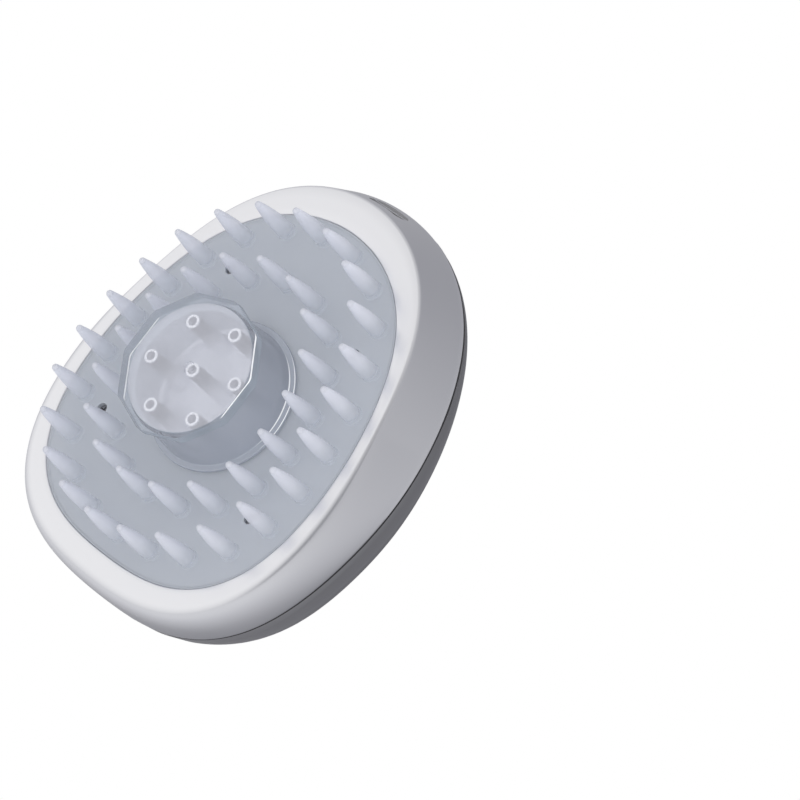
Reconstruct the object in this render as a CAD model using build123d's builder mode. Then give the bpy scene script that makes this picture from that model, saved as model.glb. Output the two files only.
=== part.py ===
import os
from math import cos, pi, radians, sin

from build123d import *

os.makedirs("parts", exist_ok=True)

# All sizes are in millimetres. Z is up and the dome is on top. The origin is the centre of the
# cap's flat end, on which the device stands. X runs along the long axis, towards the charging inlet.

# Plan shape. Each outline gives its radius from the nozzle axis as a cosine series of the angle.
face_series = (40.16, 0.70, 4.36, 1.74, -0.67, 0.34, -0.29)
band_series = (3.81, 1.16, 1.31, 0.53, 0.14, 0.05, -0.10)
flare_series = (4.38, 0.82, -1.15, -0.97, -0.05)
outer_bristle_series = (31.9, 0.59, 2.94, 1.17, -0.46)
inner_bristle_series = (22.81, 0.40, 1.42, 0.58, -0.25)

# Roundness of the ring's side: 1 is a straight slope, and more is fuller
side_roundness_series = (1.78, -1.22, 0.49)
outline_points = 60

# Heights
face_height = 14.8
ring_height = 9.2
seam_gap = 0.5
dome_rise = 34.6

# Housing shells
wall = 2.2
floor_thickness = 1.8
pad_recess = 0.4
pad_thickness = 2.0
tongue_thickness = 1.2
tongue_depth = 2.2
tongue_clearance = 0.15
rim_flange_thickness = 1.5
gasket_inset = 0.15

# Dome form
peak_x = -15.0
plan_power = 1.81
rise_power = 1.43

# Bristles
bristle_length = 12.6
bristle_base_radius = 1.8
bristle_middle_radius = 1.55
bristle_tip_radius = 0.7
bristle_root_fillet = 0.2
outer_bristle_count = 23
inner_bristle_count = 17
pad_edge_clearance = 0.1

# Housing screws
front_screw_x = 20.7
front_screw_y = 18.2
rear_screw_x = -15.6
rear_screw_y = 22.2
screw_head_radius = 1.0
screw_head_height = 1.2
screw_slot_width = 0.3
screw_slot_depth = 0.5
screw_shank_radius = 0.65
screw_length = 9.0
screw_recess_clearance = 0.15
screw_hole_clearance = 0.2
thread_clearance = 0.02
pillar_radius = 3.0

# Nozzle head
head_radius = 13.4
head_thickness = 3.5
collar_height = 2.1
collar_wall = 1.0
head_opening_clearance = 0.35
spigot_radius = 12.2
spigot_clearance = 0.3
spigot_height = 3.2
seal_section_radius = 0.6
seal_groove_width = 1.3
seal_height = 1.6
seal_clearance = 0.05
oil_bore_radius = 0.5

# Nozzles
nozzle_ring_radius = 10.3
nozzle_ring_angle = 16.3
ring_nozzle_count = 6
nozzle_tip_height = 2.36
nozzle_tip_radius = 1.4
nozzle_root_radius = 1.75
nozzle_socket_radius = 1.3
nozzle_socket_depth = 1.5
spring_bore_height = 8.0
ball_radius = 1.0
ball_clearance = 0.06
ball_lip_clearance = 0.04
ball_show = 0.5
spring_wire_radius = 0.14
spring_turns = 5

# Clear cap
cap_wall = 1.0
cap_end_thickness = 1.2
cap_flange_radius = 15.66
cap_flange_thickness = 0.9
cap_flange_gap = 0.3
cap_fit_clearance = 0.06
cap_end_radius = 13.5
cap_rim_radius = 15.1
cap_rim_sides = 10
cap_rim_height = 2.6
cap_rim_corner = 2.5
cap_groove_width = 0.3
cap_groove_depth = 0.3
cap_gate_radius = 1.1

# Oil tank
tank_radius = 16.5
tank_wall = 1.4
tank_floor = 2.8
tank_height = 15.5
tank_lug_radius = 2.6
tank_lug_reach = 19.4
tank_lug_height = 3.0

# Charging inlet and board
port_height = 19.5
port_width = 9.2
port_depth = 3.3
port_length = 7.2
port_shell_wall = 0.3
port_setback = 0.7
port_clearance = 0.25
tongue_plate_width = 6.6
tongue_plate_thickness = 0.7
board_thickness = 1.0
board_half_width = 12.0
board_start_x = 21.0
board_end_setback = 2.6
board_nose_half_width = 6.0
board_nose_length = 7.0
standoff_radius = 2.0
chip_places = ((9.0, 7.0, 5.0, 5.0), (8.5, -7.0, 4.0, 6.0), (15.0, 7.5, 2.5, 2.5), (15.0, -7.5, 2.5, 2.5))
chip_height = 1.0

# Battery
battery_length = 16.0
battery_width = 27.0
battery_height = 7.0
tray_tank_gap = 2.4
tray_wall = 1.2
tray_gap_above_board = 1.6
tray_lip_height = 4.0
tray_leg_size = 2.4
tray_clearance = 0.1
battery_edge_fillet = 1.0

# Vibration motor
motor_y = -3.0
motor_radius = 5.0
motor_boss_radius = 2.2
motor_boss_length = 0.5
shaft_clearance = 0.05
shaft_engagement = 5.0
motor_length = 19.0
motor_shaft_radius = 0.75
shaft_length = 7.0
weight_radius = 4.4
weight_thickness = 5.0
weight_gap = 1.0
weight_hub_radius = 1.9
cradle_length = 12.0
cradle_height = 5.0
cradle_floor = 1.2
cradle_clearance = 0.05
cradle_tank_gap = 1.75
strap_width = 5.0
strap_thickness = 1.0
strap_foot = 3.2

# Small inner screws
inner_screw_head_radius = 1.5
inner_screw_head_height = 1.0
inner_screw_radius = 0.75
inner_screw_length = 4.0
inner_screw_slip = 0.15

# Leads
lead_radius = 0.45
lead_spacing = 1.4
lead_rise = 0.7
lead_bend = 0.6
lead_gap = 0.8
lead_tank_gap = 3.05
lead_roof_gap = 1.05
lead_start_run = 1.2
lead_side_y = 4.0
lead_end_inset = 1.5

# Power button
button_height = 38.0
button_radius = 5.5
button_clearance = 0.3
button_rest_gap = 0.3
button_proud = 0.6
button_flange_radius = 6.8
button_flange_thickness = 1.0
button_travel = 0.5
button_edge_fillet = 0.5
bezel_radius = 8.4
bezel_depth = 3.2
switch_size = 6.0
switch_body_height = 2.2
plunger_radius = 1.2
plunger_clearance = 0.1
plunger_hidden = 0.8
switch_board_length = 22.0
switch_board_width = 9.0
switch_board_thickness = 1.0
switch_post_spacing = 18.0
switch_post_radius = 1.8

# Values that follow from the sizes above
seam_height = face_height + ring_height
dome_base = seam_height + seam_gap
floor_bottom = face_height + pad_recess + pad_thickness
floor_top = floor_bottom + floor_thickness
pad_face = face_height + pad_recess
battery_start_x = tank_radius + tray_tank_gap + tray_wall + tray_clearance
seat_radius = motor_radius + cradle_clearance
strap_radius = seat_radius + strap_thickness
strap_reach = strap_radius + strap_foot
motor_x = -(tank_radius + cradle_tank_gap + strap_reach)


def series_radius(series, angle):
    return sum(term * cos(order * angle) for order, term in enumerate(series))


def closed_curve(radius_at, x_centre=0.0, scale=1.0):
    # Points of a closed curve: the radius at each angle, drawn towards a centre on the X axis.
    points = []
    for step in range(outline_points):
        angle = 2 * pi * step / outline_points
        radius = radius_at(angle)
        x = x_centre + (radius * cos(angle) - x_centre) * scale
        points.append((x, radius * sin(angle) * scale))
    return points


def draw_outline(points):
    # Adds a filled smooth outline to the open sketch.
    add(Face(Wire(Edge.make_spline(points, periodic=True))))


def side_radius(angle, share, inset=0.0):
    # The ring's side swells from the face edge to the seam: full at the blunt end, nearly straight elsewhere.
    roundness = max(series_radius(side_roundness_series, angle), 1.0)
    swell = (1 - (1 - share) ** roundness) ** (1 / roundness)
    return series_radius(face_series, angle) + swell * series_radius(flare_series, angle) - inset


def seam_radius(angle, inset=0.0):
    return side_radius(angle, 1.0, inset)


def pad_radius(angle, inset=0.0):
    return series_radius(face_series, angle) - series_radius(band_series, angle) - inset


def dome_scale(height_share):
    # Size of the dome's section at a share of its rise.
    return (1 - height_share ** rise_power) ** (1 / plan_power)


def dome_share(scale):
    # Share of the dome's rise at which its section has a given size.
    return (1 - scale ** plan_power) ** (1 / rise_power)


dome_section_scales = (1.0, 0.985, 0.95, 0.89, 0.80, 0.68, 0.54, 0.40, 0.27, 0.15, 0.06)
side_shares = (0.0, 0.04, 0.12, 0.26, 0.46, 0.72, 1.0)
floor_share = (floor_top - face_height) / ring_height
inner_side_shares = (floor_share, (floor_share + 1) / 2, 1.0)

housing_screw_spots = Locations(
    (front_screw_x, front_screw_y),
    (front_screw_x, -front_screw_y),
    (rear_screw_x, rear_screw_y),
    (rear_screw_x, -rear_screw_y),
)
nozzle_points = [(0.0, 0.0)] + [
    (
        nozzle_ring_radius * cos(radians(nozzle_ring_angle + step * 360 / ring_nozzle_count)),
        nozzle_ring_radius * sin(radians(nozzle_ring_angle + step * 360 / ring_nozzle_count)),
    )
    for step in range(ring_nozzle_count)
]

# Base housing: the silver lower ring with its pale face band and an integral floor
tip_wall_x = side_radius(0.0, (port_height - face_height) / ring_height)
port_face_x = tip_wall_x - port_setback
board_bottom = port_height + port_depth / 2
board_end_x = port_face_x - board_end_setback
board_standoff_spots = (
    (board_start_x + 3.0, board_half_width - 3.0),
    (board_start_x + 3.0, -(board_half_width - 3.0)),
    (board_start_x + 14.0, 0.0),
)
tank_lug_spots = ((0.0, tank_lug_reach), (0.0, -tank_lug_reach))

with BuildPart() as base_housing:
    for share in side_shares:
        with BuildSketch(Plane.XY.offset(face_height + share * ring_height)):
            draw_outline(closed_curve(lambda angle: side_radius(angle, share)))
    loft()
    for share in inner_side_shares:
        with BuildSketch(Plane.XY.offset(face_height + share * ring_height)):
            draw_outline(closed_curve(lambda angle: side_radius(angle, share, wall)))
    loft(mode=Mode.SUBTRACT)
    with BuildSketch(Plane.XY.offset(face_height)):
        draw_outline(closed_curve(pad_radius))
    extrude(amount=pad_recess + pad_thickness, mode=Mode.SUBTRACT)
    with BuildSketch(Plane.XY.offset(floor_bottom)):
        Circle(head_radius + head_opening_clearance)
    extrude(amount=floor_thickness, mode=Mode.SUBTRACT)
    with BuildSketch(Plane.XY.offset(floor_bottom)):
        with housing_screw_spots:
            Circle(screw_shank_radius + screw_hole_clearance)
    extrude(amount=floor_thickness, mode=Mode.SUBTRACT)
    with BuildSketch(Plane.XY.offset(floor_top)):
        with Locations(*board_standoff_spots):
            Circle(standoff_radius)
    extrude(amount=board_bottom - floor_top)
    with BuildSketch(Plane.XY.offset(board_bottom)):
        with Locations(*board_standoff_spots):
            Circle(inner_screw_radius + thread_clearance)
    extrude(amount=-(inner_screw_length - board_thickness), mode=Mode.SUBTRACT)
    with BuildSketch(Plane.XY.offset(floor_top)):
        with Locations(*tank_lug_spots):
            Circle(tank_lug_radius)
    extrude(amount=tank_lug_height)
    with BuildSketch(Plane.XY.offset(floor_top + tank_lug_height)):
        with Locations(*tank_lug_spots):
            Circle(inner_screw_radius + thread_clearance)
    extrude(amount=-(inner_screw_length - tank_wall), mode=Mode.SUBTRACT)
    with BuildSketch(Plane.YZ.offset(port_face_x - port_length - port_clearance)):
        with Locations((0, port_height)):
            SlotOverall(port_width + 2 * port_clearance, port_depth + 2 * port_clearance)
    extrude(amount=port_length + 4.0, mode=Mode.SUBTRACT)
base_housing.part.label = "base_housing"
export_step(base_housing.part, "parts/base_housing.step")

# Seam gasket: the thin dark ring between the two shells
with BuildPart() as seam_gasket:
    with BuildSketch(Plane.XY.offset(seam_height)):
        draw_outline(closed_curve(lambda angle: seam_radius(angle, gasket_inset)))
    extrude(amount=seam_gap)
    with BuildSketch(Plane.XY.offset(seam_height)):
        draw_outline(closed_curve(lambda angle: seam_radius(angle, wall)))
    extrude(amount=seam_gap, mode=Mode.SUBTRACT)
seam_gasket.part.label = "seam_gasket"
export_step(seam_gasket.part, "parts/seam_gasket.step")

# Top cover: the dome, its rim tongue, the screw pillars and the button's bezel
with BuildPart() as dome_form:
    for scale in dome_section_scales:
        with BuildSketch(Plane.XY.offset(dome_base + dome_rise * dome_share(scale))):
            draw_outline(closed_curve(seam_radius, peak_x, scale))
    loft()

with BuildPart() as dome_hollow:
    for scale in dome_section_scales:
        with BuildSketch(Plane.XY.offset(dome_base + (dome_rise - wall) * dome_share(scale))):
            draw_outline(closed_curve(lambda angle: seam_radius(angle, wall), peak_x, scale))
    loft()

tongue_outer = wall + tongue_clearance
tongue_inner = tongue_outer + tongue_thickness
tongue_share = 1 - tongue_depth / ring_height
with BuildPart() as rim_tongue:
    for share in (tongue_share, 1.0):
        with BuildSketch(Plane.XY.offset(face_height + share * ring_height)):
            draw_outline(closed_curve(lambda angle: side_radius(angle, share, tongue_outer)))
    loft()
    with BuildSketch(Plane.XY.offset(seam_height)):
        draw_outline(closed_curve(lambda angle: seam_radius(angle, tongue_outer)))
    extrude(amount=seam_gap)
    with BuildSketch(Plane.XY.offset(dome_base)):
        draw_outline(closed_curve(lambda angle: seam_radius(angle, wall / 2)))
    extrude(amount=rim_flange_thickness)
    for share in (tongue_share, 1.0):
        with BuildSketch(Plane.XY.offset(face_height + share * ring_height)):
            draw_outline(closed_curve(lambda angle: side_radius(angle, share, tongue_inner)))
    loft(mode=Mode.SUBTRACT)
    with BuildSketch(Plane.XY.offset(seam_height)):
        draw_outline(closed_curve(lambda angle: seam_radius(angle, tongue_inner)))
    extrude(amount=seam_gap + rim_flange_thickness, mode=Mode.SUBTRACT)

button_share = (button_height - dome_base) / dome_rise
button_step = 0.01
button_x = peak_x - (seam_radius(pi) + peak_x) * dome_scale(button_share)
button_x_above = peak_x - (seam_radius(pi) + peak_x) * dome_scale(button_share + button_step)
button_normal = Vector(-button_step * dome_rise, 0, button_x_above - button_x).normalized()
button_plane = Plane(origin=(button_x, 0, button_height), x_dir=(0, 1, 0), z_dir=button_normal)
flange_top = -(bezel_depth + button_rest_gap)
flange_bottom = flange_top - button_flange_thickness
switch_top = flange_bottom - button_travel - button_rest_gap
switch_board_top = switch_top - switch_body_height

with BuildPart() as dome_supports:
    with BuildSketch(Plane.XY.offset(dome_base)):
        with housing_screw_spots:
            Circle(pillar_radius)
    extrude(amount=dome_rise)
    with BuildSketch(button_plane.offset(-bezel_depth)):
        Circle(bezel_radius)
    extrude(amount=2 * bezel_depth)
    with BuildSketch(button_plane.offset(switch_board_top)):
        with Locations((switch_post_spacing / 2, 0), (-switch_post_spacing / 2, 0)):
            Circle(switch_post_radius)
    extrude(amount=-switch_board_top)
    add(dome_form.part, mode=Mode.INTERSECT)

with BuildPart() as top_cover:
    add(dome_form.part)
    add(dome_hollow.part, mode=Mode.SUBTRACT)
    add(rim_tongue.part)
    add(dome_supports.part)
    with BuildSketch(Plane.XY.offset(floor_top)):
        with housing_screw_spots:
            Circle(pillar_radius)
    extrude(amount=dome_base - floor_top)
    with BuildSketch(Plane.XY.offset(floor_top)):
        with housing_screw_spots:
            Circle(screw_shank_radius + thread_clearance)
    extrude(amount=screw_length, mode=Mode.SUBTRACT)
    with BuildSketch(button_plane.offset(-2 * bezel_depth)):
        Circle(button_radius + button_clearance)
    extrude(amount=4 * bezel_depth, mode=Mode.SUBTRACT)
    with BuildSketch(button_plane.offset(switch_board_top)):
        with Locations((switch_post_spacing / 2, 0), (-switch_post_spacing / 2, 0)):
            Circle(inner_screw_radius + thread_clearance)
    extrude(amount=inner_screw_length - switch_board_thickness, mode=Mode.SUBTRACT)
top_cover.part.label = "top_cover"
export_step(top_cover.part, "parts/top_cover.step")

# Bristles: two rings of soft pins that point down from the pad's face
bristle_end = pad_face - bristle_length
tip_bend = 1 - cos(radians(45))
with BuildPart() as bristle:
    with BuildSketch(Plane.XZ):
        with BuildLine():
            ThreePointArc(
                (0, bristle_end),
                (bristle_tip_radius * sin(radians(45)), bristle_end + bristle_tip_radius * tip_bend),
                (bristle_tip_radius, bristle_end + bristle_tip_radius),
            )
            ThreePointArc(
                (bristle_tip_radius, bristle_end + bristle_tip_radius),
                (bristle_middle_radius, pad_face - bristle_length / 2),
                (bristle_base_radius, pad_face - bristle_root_fillet),
            )
            ThreePointArc(
                (bristle_base_radius, pad_face - bristle_root_fillet),
                (
                    bristle_base_radius + bristle_root_fillet * tip_bend,
                    pad_face - bristle_root_fillet * tip_bend,
                ),
                (bristle_base_radius + bristle_root_fillet, pad_face),
            )
            Polyline(
                (bristle_base_radius + bristle_root_fillet, pad_face),
                (0, pad_face),
                (0, bristle_end),
            )
        make_face()
    revolve(axis=Axis.Z)

outer_ring = Edge.make_spline(
    closed_curve(lambda angle: series_radius(outer_bristle_series, angle)), periodic=True
)
inner_ring = Edge.make_spline(
    closed_curve(lambda angle: series_radius(inner_bristle_series, angle)), periodic=True
)
bristle_points = [
    ring @ ((0.5 + step / count) % 1)
    for ring, count in ((outer_ring, outer_bristle_count), (inner_ring, inner_bristle_count))
    for step in range(count)
]

with BuildPart() as bristles:
    with Locations(*bristle_points):
        add(bristle.part)
bristles.part.label = "bristles"
export_step(bristles.part, "parts/bristles.step")

# Bristle pad: the soft sheet that lies against the floor and carries the bristles
with BuildPart() as bristle_pad:
    with BuildSketch(Plane.XY.offset(pad_face)):
        draw_outline(closed_curve(lambda angle: pad_radius(angle, pad_edge_clearance)))
        Circle(head_radius + head_opening_clearance, mode=Mode.SUBTRACT)
        with housing_screw_spots:
            Circle(screw_head_radius + screw_recess_clearance, mode=Mode.SUBTRACT)
    extrude(amount=pad_thickness)
bristle_pad.part.label = "bristle_pad"
export_step(bristle_pad.part, "parts/bristle_pad.step")

# Housing screws: four cross-head screws through the floor into the dome's pillars
with BuildPart() as housing_screws:
    with BuildSketch(Plane.XY.offset(floor_bottom)):
        with housing_screw_spots:
            Circle(screw_head_radius)
    extrude(amount=-screw_head_height)
    with BuildSketch(Plane.XY.offset(floor_bottom)):
        with housing_screw_spots:
            Circle(screw_shank_radius)
    extrude(amount=screw_length)
    with BuildSketch(Plane.XY.offset(floor_bottom - screw_head_height)):
        with housing_screw_spots:
            Rectangle(1.4 * screw_head_radius, screw_slot_width)
            Rectangle(screw_slot_width, 1.4 * screw_head_radius)
    extrude(amount=screw_slot_depth, mode=Mode.SUBTRACT)
housing_screws.part.label = "housing_screws"
export_step(housing_screws.part, "parts/housing_screws.step")

# Nozzle head: disc with a collar for the cap below and a sealed spigot for the tank above
head_top = pad_face + head_thickness
spigot_top = head_top + spigot_height
mouth_radius = spigot_radius + spigot_clearance
seal_outer_radius = mouth_radius - seal_clearance
seal_centre_radius = seal_outer_radius - seal_section_radius
seal_level = head_top + seal_height
with BuildPart() as nozzle_head:
    with BuildSketch(Plane.XY.offset(pad_face)):
        Circle(head_radius)
    extrude(amount=head_thickness)
    with BuildSketch(Plane.XY.offset(pad_face)):
        Circle(head_radius)
        Circle(head_radius - collar_wall, mode=Mode.SUBTRACT)
    extrude(amount=-collar_height)
    with BuildSketch(Plane.XY.offset(head_top)):
        Circle(spigot_radius)
    extrude(amount=spigot_height)
    with BuildSketch(Plane.XY.offset(seal_level - seal_groove_width / 2)):
        Circle(spigot_radius)
        Circle(seal_centre_radius - seal_section_radius, mode=Mode.SUBTRACT)
    extrude(amount=seal_groove_width, mode=Mode.SUBTRACT)
    with BuildSketch(Plane.XY.offset(pad_face)):
        with Locations(*nozzle_points):
            Circle(nozzle_socket_radius)
    extrude(amount=nozzle_socket_depth, mode=Mode.SUBTRACT)
    with BuildSketch(Plane.XY.offset(pad_face)):
        with Locations(*nozzle_points):
            Circle(oil_bore_radius)
    extrude(amount=spigot_top - pad_face, mode=Mode.SUBTRACT)
nozzle_head.part.label = "nozzle_head"
export_step(nozzle_head.part, "parts/nozzle_head.step")

with BuildPart() as head_seal:
    with BuildSketch(Plane.XZ):
        with Locations((seal_centre_radius, seal_level)):
            Circle(seal_section_radius)
    revolve(axis=Axis.Z)
head_seal.part.label = "head_seal"
export_step(head_seal.part, "parts/head_seal.step")

# Nozzle tubes: tapered metal tubes whose mouths hold the balls
ball_height = nozzle_tip_height - ball_show + ball_radius
ball_lip_radius = (ball_radius ** 2 - (ball_radius - ball_show) ** 2) ** 0.5 + ball_lip_clearance
ball_bore_radius = ball_radius + ball_clearance
with BuildPart() as nozzle_tube:
    with BuildSketch(Plane.XZ):
        with BuildLine():
            Polyline(
                (ball_lip_radius, nozzle_tip_height),
                (nozzle_tip_radius, nozzle_tip_height),
                (nozzle_root_radius, pad_face),
                (nozzle_socket_radius, pad_face),
                (nozzle_socket_radius, pad_face + nozzle_socket_depth),
                (oil_bore_radius, pad_face + nozzle_socket_depth),
                (oil_bore_radius, spring_bore_height),
                (ball_bore_radius, spring_bore_height),
                (ball_bore_radius, ball_height),
                (ball_lip_radius, nozzle_tip_height),
            )
        make_face()
    revolve(axis=Axis.Z)

with BuildPart() as nozzle_tubes:
    with Locations(*nozzle_points):
        add(nozzle_tube.part)
nozzle_tubes.part.label = "nozzle_tubes"
export_step(nozzle_tubes.part, "parts/nozzle_tubes.step")

# Nozzle balls: each rests in its tube's mouth and gives way upwards when it touches the scalp
for number, (ball_x, ball_y) in enumerate(nozzle_points, start=1):
    with BuildPart() as nozzle_ball:
        with Locations((ball_x, ball_y, ball_height)):
            Sphere(ball_radius)
    nozzle_ball.part.label = f"nozzle_ball_{number}"
    export_step(nozzle_ball.part, f"parts/nozzle_ball_{number}.step")

# Valve springs: one light coil behind each ball
spring_radius = ball_bore_radius - 2 * spring_wire_radius
spring_start = ball_height + ((ball_radius + spring_wire_radius) ** 2 - spring_radius ** 2) ** 0.5
spring_length = spring_bore_height - spring_wire_radius - spring_start
with BuildPart() as valve_spring:
    with BuildLine():
        spring_path = Helix(
            pitch=spring_length / spring_turns,
            height=spring_length,
            radius=spring_radius,
            center=(0, 0, spring_start),
        )
    with BuildSketch(Plane(origin=spring_path @ 0, z_dir=spring_path % 0)):
        Circle(spring_wire_radius)
    sweep()

with BuildPart() as valve_springs:
    with Locations(*nozzle_points):
        add(valve_spring.part)
valve_springs.part.label = "valve_springs"
export_step(valve_springs.part, "parts/valve_springs.step")

# Clear cap: a push-on cup with a round flange and a many-sided rim
cap_flange_top = pad_face - cap_flange_gap
cap_bore_radius = head_radius + cap_fit_clearance
cap_grip_height = collar_height + cap_wall
with BuildPart() as clear_cap:
    with BuildSketch(Plane.XZ):
        with BuildLine():
            Polyline(
                (0, 0),
                (cap_end_radius, 0),
                (cap_bore_radius + cap_wall, cap_flange_top - cap_flange_thickness),
                (cap_flange_radius, cap_flange_top - cap_flange_thickness),
                (cap_flange_radius, cap_flange_top),
                (cap_bore_radius, cap_flange_top),
                (cap_bore_radius, cap_flange_top - cap_grip_height),
                (cap_end_radius - cap_wall, cap_end_thickness),
                (0, cap_end_thickness),
                (0, 0),
            )
        make_face()
    revolve(axis=Axis.Z)
    with BuildSketch() as cap_rim:
        RegularPolygon(radius=cap_rim_radius, side_count=cap_rim_sides)
        fillet(cap_rim.vertices(), radius=cap_rim_corner)
        Circle(cap_end_radius - cap_wall / 2, mode=Mode.SUBTRACT)
    extrude(amount=cap_rim_height)
    with BuildSketch():
        Circle(cap_end_radius - cap_wall)
        Circle(cap_end_radius - cap_wall - cap_groove_width, mode=Mode.SUBTRACT)
    extrude(amount=cap_groove_depth, mode=Mode.SUBTRACT)
    with BuildSketch(Plane.XY.offset(cap_end_thickness)):
        Circle(cap_gate_radius)
        Circle(cap_gate_radius - cap_groove_width, mode=Mode.SUBTRACT)
    extrude(amount=-cap_groove_depth, mode=Mode.SUBTRACT)
clear_cap.part.label = "clear_cap"
export_step(clear_cap.part, "parts/clear_cap.step")

# Oil tank: a round reservoir with a wide mouth for the spigot and two screw lugs
tank_top = floor_top + tank_height
lug_bottom = floor_top + tank_lug_height
lug_top = lug_bottom + tank_wall
with BuildPart() as oil_tank:
    with BuildSketch(Plane.XY.offset(floor_top)):
        Circle(tank_radius)
    extrude(amount=tank_height)
    with BuildSketch(Plane.XY.offset(floor_top + tank_floor)):
        Circle(tank_radius - tank_wall)
    extrude(amount=tank_height - tank_floor - tank_wall, mode=Mode.SUBTRACT)
    with BuildSketch(Plane.XY.offset(floor_top)):
        Circle(mouth_radius)
    extrude(amount=tank_floor, mode=Mode.SUBTRACT)
    with BuildSketch(Plane.XY.offset(lug_bottom)):
        with Locations(*tank_lug_spots):
            Circle(tank_lug_radius)
        Rectangle(2 * tank_lug_radius, 2 * tank_lug_reach)
        Circle(tank_radius - tank_wall / 2, mode=Mode.SUBTRACT)
        with Locations(*tank_lug_spots):
            Circle(inner_screw_radius + inner_screw_slip, mode=Mode.SUBTRACT)
    extrude(amount=tank_wall)
oil_tank.part.label = "oil_tank"
export_step(oil_tank.part, "parts/oil_tank.step")

# Charging inlet: a thin metal sleeve closed at the back, with a contact tongue inside
port_start_x = port_face_x - port_length
with BuildPart() as port_shell:
    with BuildSketch(Plane.YZ.offset(port_start_x)):
        with Locations((0, port_height)):
            SlotOverall(port_width, port_depth)
    extrude(amount=port_length)
    with BuildSketch(Plane.YZ.offset(port_start_x + port_shell_wall)):
        with Locations((0, port_height)):
            SlotOverall(port_width - 2 * port_shell_wall, port_depth - 2 * port_shell_wall)
    extrude(amount=port_length, mode=Mode.SUBTRACT)
port_shell.part.label = "port_shell"
export_step(port_shell.part, "parts/port_shell.step")

with BuildPart() as port_tongue:
    with BuildSketch(Plane.YZ.offset(port_start_x + port_shell_wall)):
        with Locations((0, port_height)):
            Rectangle(tongue_plate_width, tongue_plate_thickness)
    extrude(amount=port_length - port_shell_wall - port_setback)
port_tongue.part.label = "port_tongue"
export_step(port_tongue.part, "parts/port_tongue.step")

# Circuit board: wide beside the tank and narrow above the inlet
board_top = board_bottom + board_thickness
with BuildPart() as circuit_board:
    with BuildSketch(Plane.XY.offset(board_bottom)):
        with BuildLine():
            Polyline(
                (board_start_x, -board_half_width),
                (board_end_x - board_nose_length, -board_half_width),
                (board_end_x, -board_nose_half_width),
                (board_end_x, board_nose_half_width),
                (board_end_x - board_nose_length, board_half_width),
                (board_start_x, board_half_width),
                (board_start_x, -board_half_width),
            )
        make_face()
        with Locations(*board_standoff_spots):
            Circle(inner_screw_radius + inner_screw_slip, mode=Mode.SUBTRACT)
    extrude(amount=board_thickness)
circuit_board.part.label = "circuit_board"
export_step(circuit_board.part, "parts/circuit_board.step")

with BuildPart() as board_chips:
    with BuildSketch(Plane.XY.offset(board_top)):
        for chip_x, chip_y, chip_length, chip_width in chip_places:
            with Locations((board_start_x + chip_x, chip_y)):
                Rectangle(chip_length, chip_width)
    extrude(amount=chip_height)
board_chips.part.label = "board_chips"
export_step(board_chips.part, "parts/board_chips.step")

# Battery on its tray: the tray stands on four corner legs beside the board
tray_bottom = board_top + tray_gap_above_board
battery_bottom = tray_bottom + tray_wall
battery_centre_x = battery_start_x + battery_length / 2
tray_length = battery_length + 2 * tray_clearance + 2 * tray_wall
tray_width = battery_width + 2 * tray_clearance + 2 * tray_wall
with BuildPart() as battery_tray:
    with BuildSketch(Plane.XY.offset(tray_bottom)):
        with Locations((battery_centre_x, 0)):
            Rectangle(tray_length, tray_width)
    extrude(amount=tray_wall + tray_lip_height)
    with BuildSketch(Plane.XY.offset(battery_bottom)):
        with Locations((battery_centre_x, 0)):
            Rectangle(battery_length + 2 * tray_clearance, battery_width + 2 * tray_clearance)
    extrude(amount=tray_lip_height, mode=Mode.SUBTRACT)
    with BuildSketch(Plane.XY.offset(floor_top)):
        with Locations((battery_centre_x, 0)):
            with GridLocations(tray_length - tray_leg_size, tray_width - tray_leg_size, 2, 2):
                Rectangle(tray_leg_size, tray_leg_size)
    extrude(amount=tray_bottom - floor_top)
battery_tray.part.label = "battery_tray"
export_step(battery_tray.part, "parts/battery_tray.step")

with BuildPart() as battery:
    with Locations((battery_centre_x, 0, battery_bottom)):
        Box(
            battery_length,
            battery_width,
            battery_height,
            align=(Align.CENTER, Align.CENTER, Align.MIN),
        )
    fillet(battery.edges(), radius=battery_edge_fillet)
battery.part.label = "battery"
export_step(battery.part, "parts/battery.step")

# Vibration motor: it lies along Y in a cradle under a strap, with a weight on its shaft
motor_height = floor_top + cradle_floor + motor_radius
motor_end_y = motor_y + motor_length / 2
shaft_bore_radius = motor_shaft_radius + shaft_clearance
motor_plane = Plane(origin=(motor_x, motor_end_y, motor_height), x_dir=(1, 0, 0), z_dir=(0, 1, 0))
with BuildPart() as vibration_motor:
    with BuildSketch(motor_plane):
        Circle(motor_radius)
    extrude(amount=-motor_length)
    with BuildSketch(motor_plane):
        Circle(motor_boss_radius)
    extrude(amount=motor_boss_length)
    with BuildSketch(motor_plane.offset(motor_boss_length)):
        Circle(shaft_bore_radius)
    extrude(amount=-(motor_boss_length + shaft_engagement + shaft_clearance), mode=Mode.SUBTRACT)
vibration_motor.part.label = "vibration_motor"
export_step(vibration_motor.part, "parts/vibration_motor.step")

with BuildPart() as motor_shaft:
    with BuildSketch(motor_plane.offset(-shaft_engagement)):
        Circle(motor_shaft_radius)
    extrude(amount=shaft_engagement + shaft_length)
motor_shaft.part.label = "motor_shaft"
export_step(motor_shaft.part, "parts/motor_shaft.step")

with BuildPart() as eccentric_weight:
    with BuildSketch(motor_plane.offset(weight_gap)):
        Circle(weight_radius)
        Rectangle(
            2 * weight_radius,
            weight_radius,
            align=(Align.CENTER, Align.MAX),
            mode=Mode.SUBTRACT,
        )
        Circle(weight_hub_radius)
        Circle(motor_shaft_radius, mode=Mode.SUBTRACT)
    extrude(amount=weight_thickness)
eccentric_weight.part.label = "eccentric_weight"
export_step(eccentric_weight.part, "parts/eccentric_weight.step")

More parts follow.
